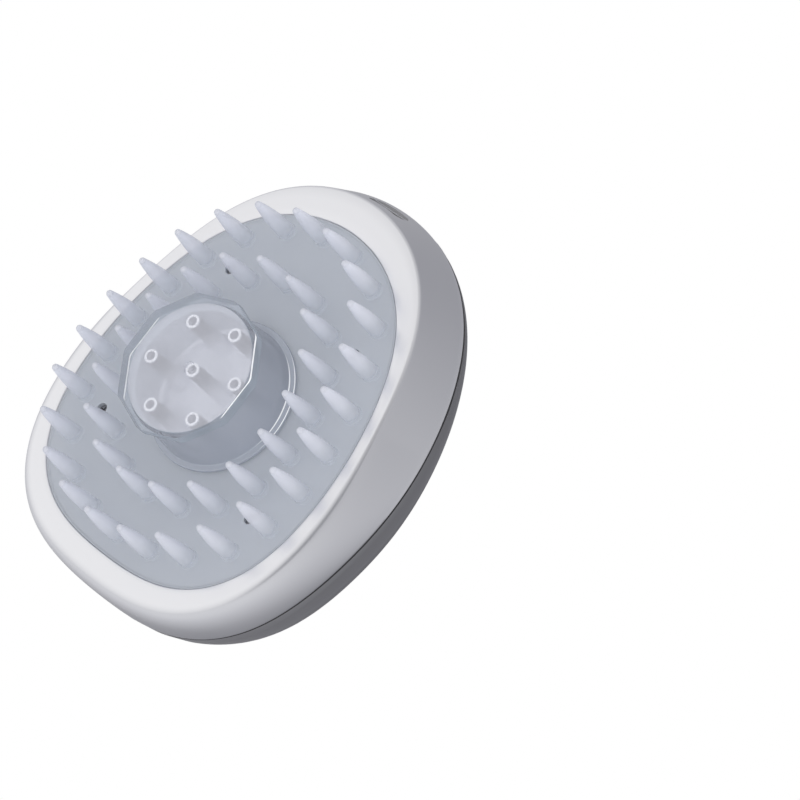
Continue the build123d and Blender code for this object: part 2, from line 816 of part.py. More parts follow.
cradle_top = floor_top + cradle_height
strap_screw_spots = (
    (motor_x - strap_radius - strap_foot / 2, motor_y),
    (motor_x + strap_radius + strap_foot / 2, motor_y),
)
with BuildPart() as motor_cradle:
    with BuildSketch(Plane.XY.offset(floor_top)):
        with Locations((motor_x, motor_y)):
            Rectangle(2 * strap_reach, cradle_length)
    extrude(amount=cradle_height)
    with BuildSketch(motor_plane):
        Circle(seat_radius)
    extrude(amount=-motor_length, mode=Mode.SUBTRACT)
    with BuildSketch(Plane.XY.offset(cradle_top)):
        with Locations(*strap_screw_spots):
            Circle(inner_screw_radius + thread_clearance)
    extrude(amount=-(inner_screw_length - strap_thickness), mode=Mode.SUBTRACT)
motor_cradle.part.label = "motor_cradle"
export_step(motor_cradle.part, "parts/motor_cradle.step")

with BuildPart() as motor_strap:
    with BuildSketch(Plane(origin=(motor_x, motor_y, motor_height), z_dir=(0, 1, 0), x_dir=(1, 0, 0))):
        Circle(strap_radius)
    extrude(amount=strap_width / 2, both=True)
    with BuildSketch(Plane.XY.offset(cradle_top)):
        with Locations((motor_x, motor_y)):
            Rectangle(2 * strap_reach, strap_width)
    extrude(amount=strap_thickness)
    with BuildSketch(motor_plane):
        Circle(seat_radius)
    extrude(amount=-motor_length, mode=Mode.SUBTRACT)
    with BuildSketch(Plane.XY.offset(cradle_top)):
        with Locations((motor_x, motor_y)):
            Rectangle(2 * strap_reach, motor_length)
    extrude(amount=-cradle_height, mode=Mode.SUBTRACT)
    with BuildSketch(Plane.XY.offset(cradle_top)):
        with Locations(*strap_screw_spots):
            Circle(inner_screw_radius + inner_screw_slip)
    extrude(amount=strap_thickness, mode=Mode.SUBTRACT)
motor_strap.part.label = "motor_strap"
export_step(motor_strap.part, "parts/motor_strap.step")

# Power button: a capped plug behind the bezel that presses a tact switch on its own small board
with BuildPart() as power_button:
    with BuildSketch(button_plane.offset(flange_bottom)):
        Circle(button_flange_radius)
    extrude(amount=button_flange_thickness)
    with BuildSketch(button_plane.offset(flange_top)):
        Circle(button_radius)
    extrude(amount=button_proud - flange_top)
    button_front = power_button.faces().sort_by(Axis(button_plane.origin, button_plane.z_dir))[-1]
    fillet(button_front.edges(), radius=button_edge_fillet)
power_button.part.label = "power_button"
export_step(power_button.part, "parts/power_button.step")

with BuildPart() as switch_plunger:
    with BuildSketch(button_plane.offset(switch_top - plunger_hidden)):
        Circle(plunger_radius)
    extrude(amount=flange_bottom - switch_top + plunger_hidden)
switch_plunger.part.label = "switch_plunger"
export_step(switch_plunger.part, "parts/switch_plunger.step")

with BuildPart() as tact_switch:
    with BuildSketch(button_plane.offset(switch_board_top)):
        Rectangle(switch_size, switch_size)
    extrude(amount=switch_body_height)
    with BuildSketch(button_plane.offset(switch_top)):
        Circle(plunger_radius + plunger_clearance)
    extrude(amount=-(plunger_hidden + 2 * button_travel), mode=Mode.SUBTRACT)
tact_switch.part.label = "tact_switch"
export_step(tact_switch.part, "parts/tact_switch.step")

switch_board_plane = button_plane.offset(switch_board_top - switch_board_thickness)
with BuildPart() as switch_board:
    with BuildSketch(switch_board_plane):
        Rectangle(switch_board_length, switch_board_width)
        with Locations((switch_post_spacing / 2, 0), (-switch_post_spacing / 2, 0)):
            Circle(inner_screw_radius + inner_screw_slip, mode=Mode.SUBTRACT)
    extrude(amount=switch_board_thickness)
switch_board.part.label = "switch_board"
export_step(switch_board.part, "parts/switch_board.step")

# Inner screws: one pattern for the board, the tank lugs, the strap and the switch board
with BuildPart() as inner_screws:
    for level, spots in (
        (board_top, board_standoff_spots),
        (lug_top, tank_lug_spots),
        (cradle_top + strap_thickness, strap_screw_spots),
    ):
        with BuildSketch(Plane.XY.offset(level)):
            with Locations(*spots):
                Circle(inner_screw_head_radius)
        extrude(amount=inner_screw_head_height)
        with BuildSketch(Plane.XY.offset(level)):
            with Locations(*spots):
                Circle(inner_screw_radius)
        extrude(amount=-inner_screw_length)
    with BuildSketch(switch_board_plane):
        with Locations((switch_post_spacing / 2, 0), (-switch_post_spacing / 2, 0)):
            Circle(inner_screw_head_radius)
    extrude(amount=-inner_screw_head_height)
    with BuildSketch(switch_board_plane):
        with Locations((switch_post_spacing / 2, 0), (-switch_post_spacing / 2, 0)):
            Circle(inner_screw_radius)
    extrude(amount=inner_screw_length)
inner_screws.part.label = "inner_screws"
export_step(inner_screws.part, "parts/inner_screws.step")

# Leads: pairs of thin wires from the motor, the battery and the switch board to the circuit board
lead_end_x = board_start_x + lead_end_inset
lead_end_height = board_top + lead_rise
floor_lead_height = floor_top + lead_rise
tank_gap_x = tank_radius + tray_tank_gap / 2
lead_ring_radius = tank_radius + lead_tank_gap + lead_radius
roof_edge_x = -(tank_radius + lead_roof_gap + lead_radius)
motor_back_y = motor_y - motor_length / 2
lug_pass_y = -(tank_lug_reach + tank_lug_radius + lead_gap + lead_radius)
battery_lead_height = battery_bottom + battery_height - battery_edge_fillet - lead_radius
roof_lead_height = tank_top + lead_rise
switch_lead_start = switch_board_plane.from_local_coords(Vector(0, 0, 0))
switch_lead_exit = switch_board_plane.from_local_coords(Vector(0, 0, -lead_start_run))


def beside_tank(angle, shift):
    # A point of a lead that goes round the tank, on the floor.
    radius = lead_ring_radius + shift
    return (radius * cos(radians(angle)), radius * sin(radians(angle)), floor_lead_height)


with BuildPart() as motor_leads:
    for shift in (0.0, lead_spacing):
        start_x = motor_x + lead_spacing / 2 - shift
        with BuildLine() as motor_lead_path:
            FilletPolyline(
                (start_x, motor_back_y, motor_height),
                (start_x, motor_back_y - lead_start_run - shift, motor_height),
                (start_x, motor_back_y - lead_start_run - shift, floor_lead_height),
                beside_tank(-127.5, shift),
                (0, lug_pass_y - shift, floor_lead_height),
                beside_tank(-52.5, shift),
                beside_tank(-30.0, shift),
                (tank_gap_x + shift / 2, -lead_side_y - shift, lead_end_height),
                (lead_end_x, -lead_side_y - shift, lead_end_height),
                (lead_end_x, -lead_side_y - shift, board_top),
                radius=lead_bend,
            )
        with BuildSketch(Plane(origin=motor_lead_path.line @ 0, z_dir=motor_lead_path.line % 0)):
            Circle(lead_radius)
        sweep(path=motor_lead_path.line)
motor_leads.part.label = "motor_leads"
export_step(motor_leads.part, "parts/motor_leads.step")

with BuildPart() as battery_leads:
    for side_y in (-lead_spacing / 2, lead_spacing / 2):
        with BuildLine() as battery_lead_path:
            FilletPolyline(
                (battery_start_x, side_y, battery_lead_height),
                (tank_gap_x, side_y, battery_lead_height),
                (tank_gap_x, side_y, lead_end_height),
                (lead_end_x, side_y, lead_end_height),
                (lead_end_x, side_y, board_top),
                radius=lead_bend,
            )
        with BuildSketch(Plane(origin=battery_lead_path.line @ 0, z_dir=battery_lead_path.line % 0)):
            Circle(lead_radius)
        sweep(path=battery_lead_path.line)
battery_leads.part.label = "battery_leads"
export_step(battery_leads.part, "parts/battery_leads.step")

with BuildPart() as switch_leads:
    for side_y in (lead_side_y, lead_side_y + lead_spacing):
        with BuildLine() as switch_lead_path:
            FilletPolyline(
                (switch_lead_start.X, side_y, switch_lead_start.Z),
                (switch_lead_exit.X, side_y, switch_lead_exit.Z),
                (roof_edge_x, side_y, roof_lead_height),
                (tank_gap_x, side_y, roof_lead_height),
                (tank_gap_x, side_y, lead_end_height),
                (lead_end_x, side_y, lead_end_height),
                (lead_end_x, side_y, board_top),
                radius=lead_bend,
            )
        with BuildSketch(Plane(origin=switch_lead_path.line @ 0, z_dir=switch_lead_path.line % 0)):
            Circle(lead_radius)
        sweep(path=switch_lead_path.line)
switch_leads.part.label = "switch_leads"
export_step(switch_leads.part, "parts/switch_leads.step")
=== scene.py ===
import math

import bmesh
import bpy
import numpy as np
from mathutils import Matrix, Vector


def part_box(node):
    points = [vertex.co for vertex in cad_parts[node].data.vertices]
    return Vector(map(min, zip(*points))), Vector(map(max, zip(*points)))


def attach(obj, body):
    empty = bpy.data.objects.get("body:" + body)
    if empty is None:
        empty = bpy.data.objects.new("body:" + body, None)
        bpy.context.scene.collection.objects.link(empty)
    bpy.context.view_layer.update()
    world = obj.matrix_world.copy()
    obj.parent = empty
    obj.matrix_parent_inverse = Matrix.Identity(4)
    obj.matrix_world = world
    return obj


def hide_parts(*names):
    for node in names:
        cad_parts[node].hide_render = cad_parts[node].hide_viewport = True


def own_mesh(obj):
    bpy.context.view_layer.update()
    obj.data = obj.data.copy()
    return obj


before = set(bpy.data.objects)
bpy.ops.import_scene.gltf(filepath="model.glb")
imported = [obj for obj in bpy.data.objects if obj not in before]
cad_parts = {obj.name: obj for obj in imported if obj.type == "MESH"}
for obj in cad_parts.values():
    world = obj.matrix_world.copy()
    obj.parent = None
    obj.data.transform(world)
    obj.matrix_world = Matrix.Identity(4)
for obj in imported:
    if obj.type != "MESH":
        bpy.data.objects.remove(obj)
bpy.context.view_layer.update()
mm = 0.001
print("frame loaded")


# Mesh helpers. Every piece is computed in millimetres in the frame's own axes.
def gridFaces(rows, columns, wrapRows=False, wrapColumns=True):
    # Quads between neighbouring points of a grid stored row by row.
    i = np.arange(rows if wrapRows else rows - 1)[:, None]
    j = np.arange(columns if wrapColumns else columns - 1)[None, :]
    nextRow, nextColumn = (i + 1) % rows, (j + 1) % columns
    corners = (i * columns + j, i * columns + nextColumn,
               nextRow * columns + nextColumn, nextRow * columns + j)
    return np.stack(corners, -1).reshape(-1, 4).tolist()


def meshObject(name, points, faces):
    mesh = bpy.data.meshes.new(name)
    mesh.from_pydata((np.asarray(points) * mm).tolist(), [], faces)
    tidyMesh(mesh)
    piece = bpy.data.objects.new(name, mesh)
    bpy.context.scene.collection.objects.link(piece)
    return piece


def addPiece(name, points, faces, material, body, slot, nodes, smooth, cutters=(), floorHeight=None):
    # A piece of the object, shaded smooth up to an angle in degrees between neighbouring faces.
    piece = meshObject(name, points, faces)
    if floorHeight is not None:
        trimBelow(piece.data, floorHeight)
    if cutters:
        cutAway(piece, cutters)
    finishPiece(piece, material, body, nodes, smooth)
    return piece


def trimBelow(mesh, height):
    # Cuts a closed mesh off at a height and closes the cut.
    work = bmesh.new()
    work.from_mesh(mesh)
    everything = work.verts[:] + work.edges[:] + work.faces[:]
    cut = bmesh.ops.bisect_plane(work, geom=everything, plane_co=(0, 0, height * mm), plane_no=(0, 0, 1),
                                 clear_inner=True)
    rim = [item for item in cut["geom_cut"] if isinstance(item, bmesh.types.BMEdge)]
    bmesh.ops.contextual_create(work, geom=rim)
    bmesh.ops.recalc_face_normals(work, faces=work.faces)
    work.to_mesh(mesh)
    work.free()


def cutAway(piece, cutters):
    # Takes closed cutter shapes (points, faces) out of a piece and keeps the result as its mesh.
    tools = []
    for points, faces in cutters:
        tool = meshObject("cutter", points, faces)
        modifier = piece.modifiers.new("cut", "BOOLEAN")
        modifier.operation = "DIFFERENCE"
        modifier.solver = "EXACT"
        modifier.object = tool
        tools.append(tool)
    seen = piece.evaluated_get(bpy.context.evaluated_depsgraph_get())
    mesh = bpy.data.meshes.new_from_object(seen)
    piece.modifiers.clear()
    piece.data = mesh
    for tool in tools:
        bpy.data.objects.remove(tool, do_unlink=True)


def tidyMesh(mesh):
    # Welds doubled points and turns every face outwards.
    work = bmesh.new()
    work.from_mesh(mesh)
    bmesh.ops.remove_doubles(work, verts=work.verts, dist=1e-7)
    bmesh.ops.recalc_face_normals(work, faces=work.faces)
    work.to_mesh(mesh)
    work.free()


def finishPiece(piece, material, body, nodes, smooth):
    piece.data.materials.clear()
    piece.data.materials.append(material)
    piece.data.polygons.foreach_set("use_smooth", [True] * len(piece.data.polygons))
    piece.data.set_sharp_from_angle(angle=math.radians(smooth))
    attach(piece, body)
    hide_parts(*nodes)


def roundedLine(corners, steps=6):
    # A polyline whose corners (r, z, radius) are turned into arcs.
    line = []
    count = len(corners)
    for k, (r, z, radius) in enumerate(corners):
        point = np.array((r, z), float)
        if radius <= 0 or k in (0, count - 1):
            line.append(tuple(point))
            continue
        before = np.array(corners[k - 1][:2], float) - point
        after = np.array(corners[k + 1][:2], float) - point
        before, after = before / np.linalg.norm(before), after / np.linalg.norm(after)
        half = math.acos(np.clip(np.dot(before, after), -1, 1)) / 2
        reach = radius / math.tan(half)
        middle = before + after
        centre = point + middle / np.linalg.norm(middle) * radius / math.sin(half)
        first, last = point + before * reach - centre, point + after * reach - centre
        turn = math.atan2(first[0] * last[1] - first[1] * last[0], np.dot(first, last))
        for s in range(steps + 1):
            angle = turn * s / steps
            c, d = math.cos(angle), math.sin(angle)
            line.append((centre[0] + first[0] * c - first[1] * d, centre[1] + first[0] * d + first[1] * c))
    return line


def turned(line, steps, centre=(0.0, 0.0)):
    # Points and faces of a line (r, z) turned about a vertical axis.
    angles = np.arange(steps) * 2 * math.pi / steps
    line = np.array(line)
    x = centre[0] + line[:, :1] * np.cos(angles)
    y = centre[1] + line[:, :1] * np.sin(angles)
    z = np.repeat(line[:, 1:], steps, axis=1)
    return np.stack((x, y, z), axis=-1).reshape(-1, 3), gridFaces(len(line), steps)


def ringPointsAt(angles, radius, z):
    # Points of one closed ring: a radius for every angle, at one height or at a height for every angle.
    return np.stack((radius * np.cos(angles), radius * np.sin(angles), z + 0 * angles), -1)


def joined(parts):
    # One list of points and quads from several.
    counts = [len(points) for points, _ in parts]
    offsets = np.cumsum([0] + counts[:-1])
    quads = [np.array(faces) + offset for (_, faces), offset in zip(parts, offsets)]
    return np.concatenate([points for points, _ in parts]), np.concatenate(quads).tolist()


# Material helpers
def newMaterial(name, **settings):
    material = bpy.data.materials.new(name)
    material.use_nodes = True
    shader = material.node_tree.nodes["Principled BSDF"]
    for key, value in settings.items():
        shader.inputs[key].default_value = value
    return material, material.node_tree, shader


def objectPlace(tree):
    return tree.nodes.new("ShaderNodeTexCoord").outputs["Object"]


def noiseNode(tree, scale, detail=3.0):
    # Noise over object coordinates.
    noise = tree.nodes.new("ShaderNodeTexNoise")
    noise.inputs["Scale"].default_value = scale
    noise.inputs["Detail"].default_value = detail
    tree.links.new(objectPlace(tree), noise.inputs["Vector"])
    return noise.outputs["Fac"]


def ramp(tree, value, stops):
    node = tree.nodes.new("ShaderNodeValToRGB")
    while len(node.color_ramp.elements) < len(stops):
        node.color_ramp.elements.new(0.5)
    for element, (place, colour) in zip(node.color_ramp.elements, stops):
        element.position = place
        element.color = (*colour, 1)
    tree.links.new(value, node.inputs["Fac"])
    return node.outputs["Color"]


def roughnessFrom(tree, shader, value, low, high):
    scale = tree.nodes.new("ShaderNodeMapRange")
    scale.inputs["To Min"].default_value = low
    scale.inputs["To Max"].default_value = high
    tree.links.new(value, scale.inputs["Value"])
    tree.links.new(scale.outputs["Result"], shader.inputs["Roughness"])


def bumpFrom(tree, shader, value, distance):
    bump = tree.nodes.new("ShaderNodeBump")
    bump.inputs["Strength"].default_value = 1.0
    bump.inputs["Distance"].default_value = distance
    tree.links.new(value, bump.inputs["Height"])
    tree.links.new(bump.outputs["Normal"], shader.inputs["Normal"])


def rangeShare(tree, value, low, high):
    # Share of the way between two values, kept within 0 and 1.
    scale = tree.nodes.new("ShaderNodeMapRange")
    scale.inputs["From Min"].default_value = low
    scale.inputs["From Max"].default_value = high
    tree.links.new(value, scale.inputs["Value"])
    return scale.outputs["Result"]


def vectorNode(tree, operation, source, other=None):
    node = tree.nodes.new("ShaderNodeVectorMath")
    node.operation = operation
    tree.links.new(source, node.inputs[0])
    if other is not None:
        node.inputs[1].default_value = other
    return node


def alongValue(tree, direction, low, high):
    # Share of the way between two distances along a direction, in millimetres, over object coordinates.
    dot = vectorNode(tree, "DOT_PRODUCT", objectPlace(tree), Vector(direction).normalized())
    return rangeShare(tree, dot.outputs["Value"], low * mm, high * mm)


def heightValue(tree, low, high):
    return alongValue(tree, (0, 0, 1), low, high)


def radiusValue(tree, low, high):
    # Share of the way between two distances from the nozzle axis, in millimetres.
    flat = vectorNode(tree, "MULTIPLY", objectPlace(tree), (1, 1, 0))
    length = vectorNode(tree, "LENGTH", flat.outputs["Vector"])
    return rangeShare(tree, length.outputs["Value"], low * mm, high * mm)


def towards(tree, direction):
    # How nearly the surface faces a direction: 1 where it faces it squarely.
    normal = tree.nodes.new("ShaderNodeNewGeometry").outputs["Normal"]
    return vectorNode(tree, "DOT_PRODUCT", normal, Vector(direction).normalized()).outputs["Value"]


def mixed(tree, share, first, second):
    # Blend of two colours, each a socket or a plain value.
    mix = tree.nodes.new("ShaderNodeMix")
    mix.data_type = "RGBA"
    tree.links.new(share, mix.inputs["Factor"])
    for key, colour in (("A", first), ("B", second)):
        if isinstance(colour, tuple):
            mix.inputs[key].default_value = (*colour, 1)
        else:
            tree.links.new(colour, mix.inputs[key])
    return mix.outputs["Result"]


def grey(level):
    return (level, level, level)


def satinSilver(name, tone, roughness, bandTone=None):
    # Silver paint with a faint unevenness. A band tone colours what lies lower than 14.8 mm and is gone by
    # 15.1 mm: the ring's face band.
    material, tree, shader = newMaterial(name, Metallic=0.92)
    fine = noiseNode(tree, 900.0, 2.0)
    broad = noiseNode(tree, 30.0, 2.0)
    low = tuple(c * 0.97 for c in tone)
    colour = ramp(tree, broad, [(0.3, low), (0.7, tone)])
    if bandTone:
        overBand = ramp(tree, heightValue(tree, 14.7, 16.7), [(0.05, grey(0)), (0.20, grey(1))])
        colour = mixed(tree, overBand, bandTone, colour)
    tree.links.new(colour, shader.inputs["Base Color"])
    roughnessFrom(tree, shader, broad, roughness - 0.02, roughness + 0.02)
    bumpFrom(tree, shader, fine, 0.000004)
    return material


def plainPlastic(name, tone, roughness):
    material, tree, shader = newMaterial(name)
    broad = noiseNode(tree, 120.0, 3.0)
    low = tuple(c * 0.93 for c in tone)
    tree.links.new(ramp(tree, broad, [(0.3, low), (0.7, tone)]), shader.inputs["Base Color"])
    roughnessFrom(tree, shader, broad, roughness - 0.04, roughness + 0.04)
    return material


silver = satinSilver("silver", (0.60, 0.605, 0.635), 0.34, (0.80, 0.80, 0.82))
domeSilver = satinSilver("domeSilver", (0.55, 0.55, 0.56), 0.30)
chrome = satinSilver("ballChrome", (0.16, 0.16, 0.18), 0.15)
# Painted shade: the pad screws are a dark chrome so they read as dark spots down their holes
screwChrome = satinSilver("screwChrome", (0.30, 0.30, 0.31), 0.2)
# Painted shade: the port's metal shell is near black so the inlet reads as a dark hole
portDark = satinSilver("portDark", (0.05, 0.05, 0.055), 0.4)
# Painted shade: a plain grey for the inlet slot's walls, which are part of the silver ring
slotGrey = plainPlastic("slotGrey", (0.32, 0.32, 0.335), 0.5)
blackRubber = plainPlastic("blackRubber", (0.02, 0.02, 0.022), 0.6)
blackPlastic = plainPlastic("blackPlastic", (0.015, 0.015, 0.016), 0.4)
boardGreen = plainPlastic("boardGreen", (0.02, 0.12, 0.05), 0.4)
whitePlastic = plainPlastic("whitePlastic", (0.75, 0.75, 0.75), 0.45)
innerSteel = satinSilver("innerSteel", (0.55, 0.55, 0.56), 0.35)
brass = satinSilver("brass", (0.60, 0.45, 0.20), 0.3)
redLead = plainPlastic("redLead", (0.35, 0.02, 0.02), 0.5)

# Frosted silicone of the pad, with a faint cloudiness
silicone, tree, shader = newMaterial("silicone", Roughness=0.5, **{"Subsurface Weight": 0.3})
shader.inputs["Subsurface Radius"].default_value = (0.0022, 0.0023, 0.0026)
shader.inputs["Subsurface Scale"].default_value = 1.0
shader.inputs["Specular IOR Level"].default_value = 0.3
stops = [(0.3, (0.402, 0.427, 0.470)), (0.7, (0.426, 0.452, 0.497))]
tree.links.new(ramp(tree, noiseNode(tree, 25.0, 2.0), stops), shader.inputs["Base Color"])
bumpFrom(tree, shader, noiseNode(tree, 700.0, 2.0), 0.000006)

# Bristles: the same silicone, thin enough to let light through, melting into the pad at the root. Their tone
# is painted light, far lighter than the pad's to stand in for light passing through them, with painted shade
# at the very tips so that the lamp below doesn't light them into white spots
bristleSilicone, tree, shader = newMaterial("bristleSilicone", Roughness=0.5)
shader.inputs["Specular IOR Level"].default_value = 0.12
height = heightValue(tree, 2.6, 15.2)
stops = [(0.0, (0.60, 0.615, 0.67)), (0.08, (0.74, 0.76, 0.835)), (0.5, (0.71, 0.73, 0.80)),
         (1.0, (0.62, 0.65, 0.71))]
tree.links.new(ramp(tree, height, stops), shader.inputs["Base Color"])
veil = [(0.0, grey(0.82)), (0.5, grey(0.66)), (0.85, grey(0.42)), (0.98, grey(0.22))]
tree.links.new(ramp(tree, height, veil), shader.inputs["Alpha"])
bumpFrom(tree, shader, noiseNode(tree, 700.0, 2.0), 0.000006)

# Head plastic: pale and slightly frosted
headPlastic, tree, shader = newMaterial("headPlastic", Roughness=0.38)
stops = [(0.3, (0.62, 0.64, 0.70)), (0.7, (0.65, 0.67, 0.73))]
tree.links.new(ramp(tree, noiseNode(tree, 60.0), stops), shader.inputs["Base Color"])

# Nozzle tubes: a painted highlight as a pale lip round the ball, and painted shade on the shaft, dark near
# the lip and paling towards the head
tubePlastic, tree, shader = newMaterial("tubePlastic", Roughness=0.4)
stops = [(0.0, (0.80, 0.81, 0.84)), (0.02, (0.80, 0.81, 0.84)), (0.05, (0.05, 0.051, 0.06)),
         (0.3, (0.08, 0.082, 0.095)), (0.9, (0.60, 0.62, 0.68))]
tree.links.new(ramp(tree, heightValue(tree, 2.3, 13.0), stops), shader.inputs["Base Color"])

# Frosted clear plastic of the cap: a thin outer face over a pale inner floor, darker rim and wall, and a
# painted highlight on the outer edges that face one fixed direction, on the side away from the lamps. A veil
# is the share of what is seen that the plastic hides.
# Ranges are in millimetres and stops are shares of them.
capLook = {"wallFoot": (0.34, 0.385, 0.44), "wall": (0.41, 0.44, 0.50), "floor": (0.84, 0.855, 0.93),
           "face": (0.60, 0.62, 0.69), "glint": (0.95, 0.96, 0.98), "wallVeil": 0.68, "floorVeil": 0.38,
           "faceVeil": 0.14, "glintVeil": 0.95, "glintFacing": (0.30, 0.66, -0.69)}
clear, tree, shader = newMaterial("clearPlastic", Roughness=0.25)
wallTone = ramp(tree, heightValue(tree, 2.0, 14.0), [(0.0, capLook["wallFoot"]), (0.15, capLook["wall"])])
onFloor = ramp(tree, heightValue(tree, 0.0, 2.0), [(0.66, grey(1)), (0.68, grey(0))])
inside = ramp(tree, radiusValue(tree, 0.0, 20.0), [(0.665, grey(1)), (0.67, grey(0))])
floorShare = mixed(tree, onFloor, grey(0), inside)
faceShare = ramp(tree, heightValue(tree, 0.0, 2.0), [(0.10, grey(1)), (0.15, grey(0))])
tone = mixed(tree, floorShare, wallTone, capLook["floor"])
tone = mixed(tree, faceShare, tone, capLook["face"])
veil = mixed(tree, floorShare, grey(capLook["wallVeil"]), grey(capLook["floorVeil"]))
veil = mixed(tree, faceShare, veil, grey(capLook["faceVeil"]))
# Painted highlight: full where the surface faces one fixed direction, kept to the rim's outer edge and the
# flange
glint = ramp(tree, towards(tree, capLook["glintFacing"]), [(0.87, grey(0)), (0.95, grey(1))])
outerEdge = ramp(tree, radiusValue(tree, 0.0, 20.0), [(0.70, grey(0)), (0.71, grey(1))])
glint = mixed(tree, outerEdge, grey(0), glint)
tree.links.new(mixed(tree, glint, tone, capLook["glint"]), shader.inputs["Base Color"])
tree.links.new(mixed(tree, glint, veil, grey(capLook["glintVeil"])), shader.inputs["Alpha"])
bumpFrom(tree, shader, noiseNode(tree, 90.0), 0.00002)
print("materials made")

# CAD nodes that stay get their finish
finishes = {
    "seam_gasket": blackRubber, "housing_screws": screwChrome, "nozzle_head": headPlastic,
    "head_seal": blackRubber, "nozzle_tubes": tubePlastic,
    "oil_tank": whitePlastic, "port_shell": portDark, "port_tongue": blackPlastic,
    "circuit_board": boardGreen, "board_chips": blackPlastic, "battery_tray": whitePlastic,
    "battery": innerSteel, "vibration_motor": innerSteel, "motor_shaft": innerSteel,
    "eccentric_weight": brass, "motor_cradle": whitePlastic, "motor_strap": innerSteel,
    "switch_plunger": blackPlastic, "tact_switch": blackPlastic,
    "switch_board": boardGreen, "inner_screws": innerSteel, "motor_leads": redLead,
    "battery_leads": redLead, "switch_leads": blackRubber,
}
for number in range(1, 8):
    finishes[f"nozzle_ball_{number}"] = chrome
for node, material in finishes.items():
    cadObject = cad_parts[node]
    cadObject.data.materials.clear()
    cadObject.data.materials.append(material)

# Plan outlines: radius from the nozzle axis as a cosine series of the angle
plan = {
    "face": (40.16, 0.70, 4.36, 1.74, -0.67, 0.34, -0.29),
    "band": (3.81, 1.16, 1.31, 0.53, 0.14, 0.05, -0.10),
    "flare": (4.38, 0.82, -1.15, -0.97, -0.05),
    "outerBristles": (31.9, 0.59, 2.94, 1.17, -0.46),
    "innerBristles": (22.81, 0.40, 1.42, 0.58, -0.25),
    "sideRoundness": (1.78, -1.22, 0.49),
    "faceHeight": 14.8, "ringHeight": 9.2, "seamGap": 0.5, "domeRise": 34.45, "wall": 2.2,
    "peakX": -15.0, "planPower": 1.81, "risePower": 1.43,
}
seamHeight = plan["faceHeight"] + plan["ringHeight"]
domeBase = seamHeight + plan["seamGap"]


def series(name, angle):
    return sum(term * np.cos(order * angle) for order, term in enumerate(plan[name]))


def sideRadius(angle, share, inset=0.0):
    # The side swells from the face edge to the seam: full at the blunt end, nearly straight elsewhere.
    power = np.maximum(series("sideRoundness", angle), 1.0)
    swell = (1 - (1 - share) ** power) ** (1 / power)
    return series("face", angle) + swell * series("flare", angle) - inset


# Ring: one closed profile worked out at every angle round the plan
ring = {"steps": 300, "sideRows": 40, "padRecess": 0.4, "padThickness": 2.0, "floorThickness": 1.8,
        "hole": 13.75, "edgeRound": 0.3, "faceRound": 0.4, "faceRoundHeight": 0.4, "rimRound": 0.2,
        "portHeight": 19.5, "portWidth": 9.7, "portDepth": 3.8, "portFlare": 0.1, "portSetback": 0.7,
        "portLength": 7.45, "portStart": 38.0}
ringAngles = np.arange(ring["steps"]) * 2 * math.pi / ring["steps"]
padEdge = series("face", ringAngles) - series("band", ringAngles)
faceEdge = series("face", ringAngles) - ring["faceRound"]
floorBottom = plan["faceHeight"] + ring["padRecess"] + ring["padThickness"]
floorTop = floorBottom + ring["floorThickness"]
rows = []
for share in np.linspace(0, 1, ring["sideRows"]) ** 2.0:
    rise = share * plan["ringHeight"]
    if rise < plan["ringHeight"] - ring["rimRound"]:
        # The band's edge is rounded by drawing the lowest rows in
        softening = ring["faceRound"] * max(1 - rise / ring["faceRoundHeight"], 0) ** 2
        rows.append((sideRadius(ringAngles, share) - softening, plan["faceHeight"] + rise))
for k in range(4):
    turn = math.radians(90) * k / 3
    rows.append((sideRadius(ringAngles, 1.0) - ring["rimRound"] * (1 - math.cos(turn)),
                 seamHeight - ring["rimRound"] * (1 - math.sin(turn))))
rows.append((sideRadius(ringAngles, 1.0, plan["wall"]), seamHeight))
floorShare = (floorTop - plan["faceHeight"]) / plan["ringHeight"]
for share in np.linspace(1, floorShare, 6)[1:]:
    rows.append((sideRadius(ringAngles, share, plan["wall"]),
                 plan["faceHeight"] + share * plan["ringHeight"]))
rows += [(ring["hole"], floorTop), (ring["hole"], floorBottom), (padEdge, floorBottom)]
for k in range(4):
    turn = math.radians(90) * k / 3
    rows.append((padEdge + ring["edgeRound"] * (1 - math.cos(turn)),
                 plan["faceHeight"] + ring["edgeRound"] * (1 - math.sin(turn))))
bandStart = padEdge + ring["edgeRound"]
rows += [(bandStart + (faceEdge - bandStart) * share, plan["faceHeight"]) for share in (0.3, 0.65)]
ringPoints = np.concatenate([ringPointsAt(ringAngles, r, z) for r, z in rows])


def slotPrism(sections, corners=12):
    # A prism along X through sections (x, width, depth) about the inlet's height. Each section is two half
    # circles as wide as the slot is deep, set apart to the slot's width.
    side = np.repeat((1, -1), corners)
    turn = np.tile(np.radians(-90 + 180 * np.arange(corners) / (corners - 1)), 2)
    x, width, depth = np.array(sections).T[:, :, None]
    across = side * ((width - depth) / 2 + depth / 2 * np.cos(turn))
    height = ring["portHeight"] + side * depth / 2 * np.sin(turn)
    points = np.stack((x + 0 * across, across, height), -1).reshape(-1, 3)
    last = (len(sections) - 1) * 2 * corners
    ends = [list(range(2 * corners)), list(range(last, last + 2 * corners))]
    return points, gridFaces(len(sections), 2 * corners) + ends


tipWall = float(sideRadius(np.array(0.0), (ring["portHeight"] - plan["faceHeight"]) / plan["ringHeight"]))
width, depth, flare = ring["portWidth"], ring["portDepth"], ring["portFlare"]
wideMouth, deepMouth = width + 4 * flare, depth + 4 * flare
slotCutter = slotPrism([(tipWall - ring["portSetback"] - ring["portLength"], width, depth),
                        (tipWall - flare, width, depth), (tipWall + flare, wideMouth, deepMouth),
                        (tipWall + 1, wideMouth, deepMouth)])
ringFaces = gridFaces(len(rows), ring["steps"], wrapRows=True)
ringPiece = addPiece("ringShell", ringPoints, ringFaces, silver, "housing", "base_housing", ["base_housing"],
                     32, [slotCutter])
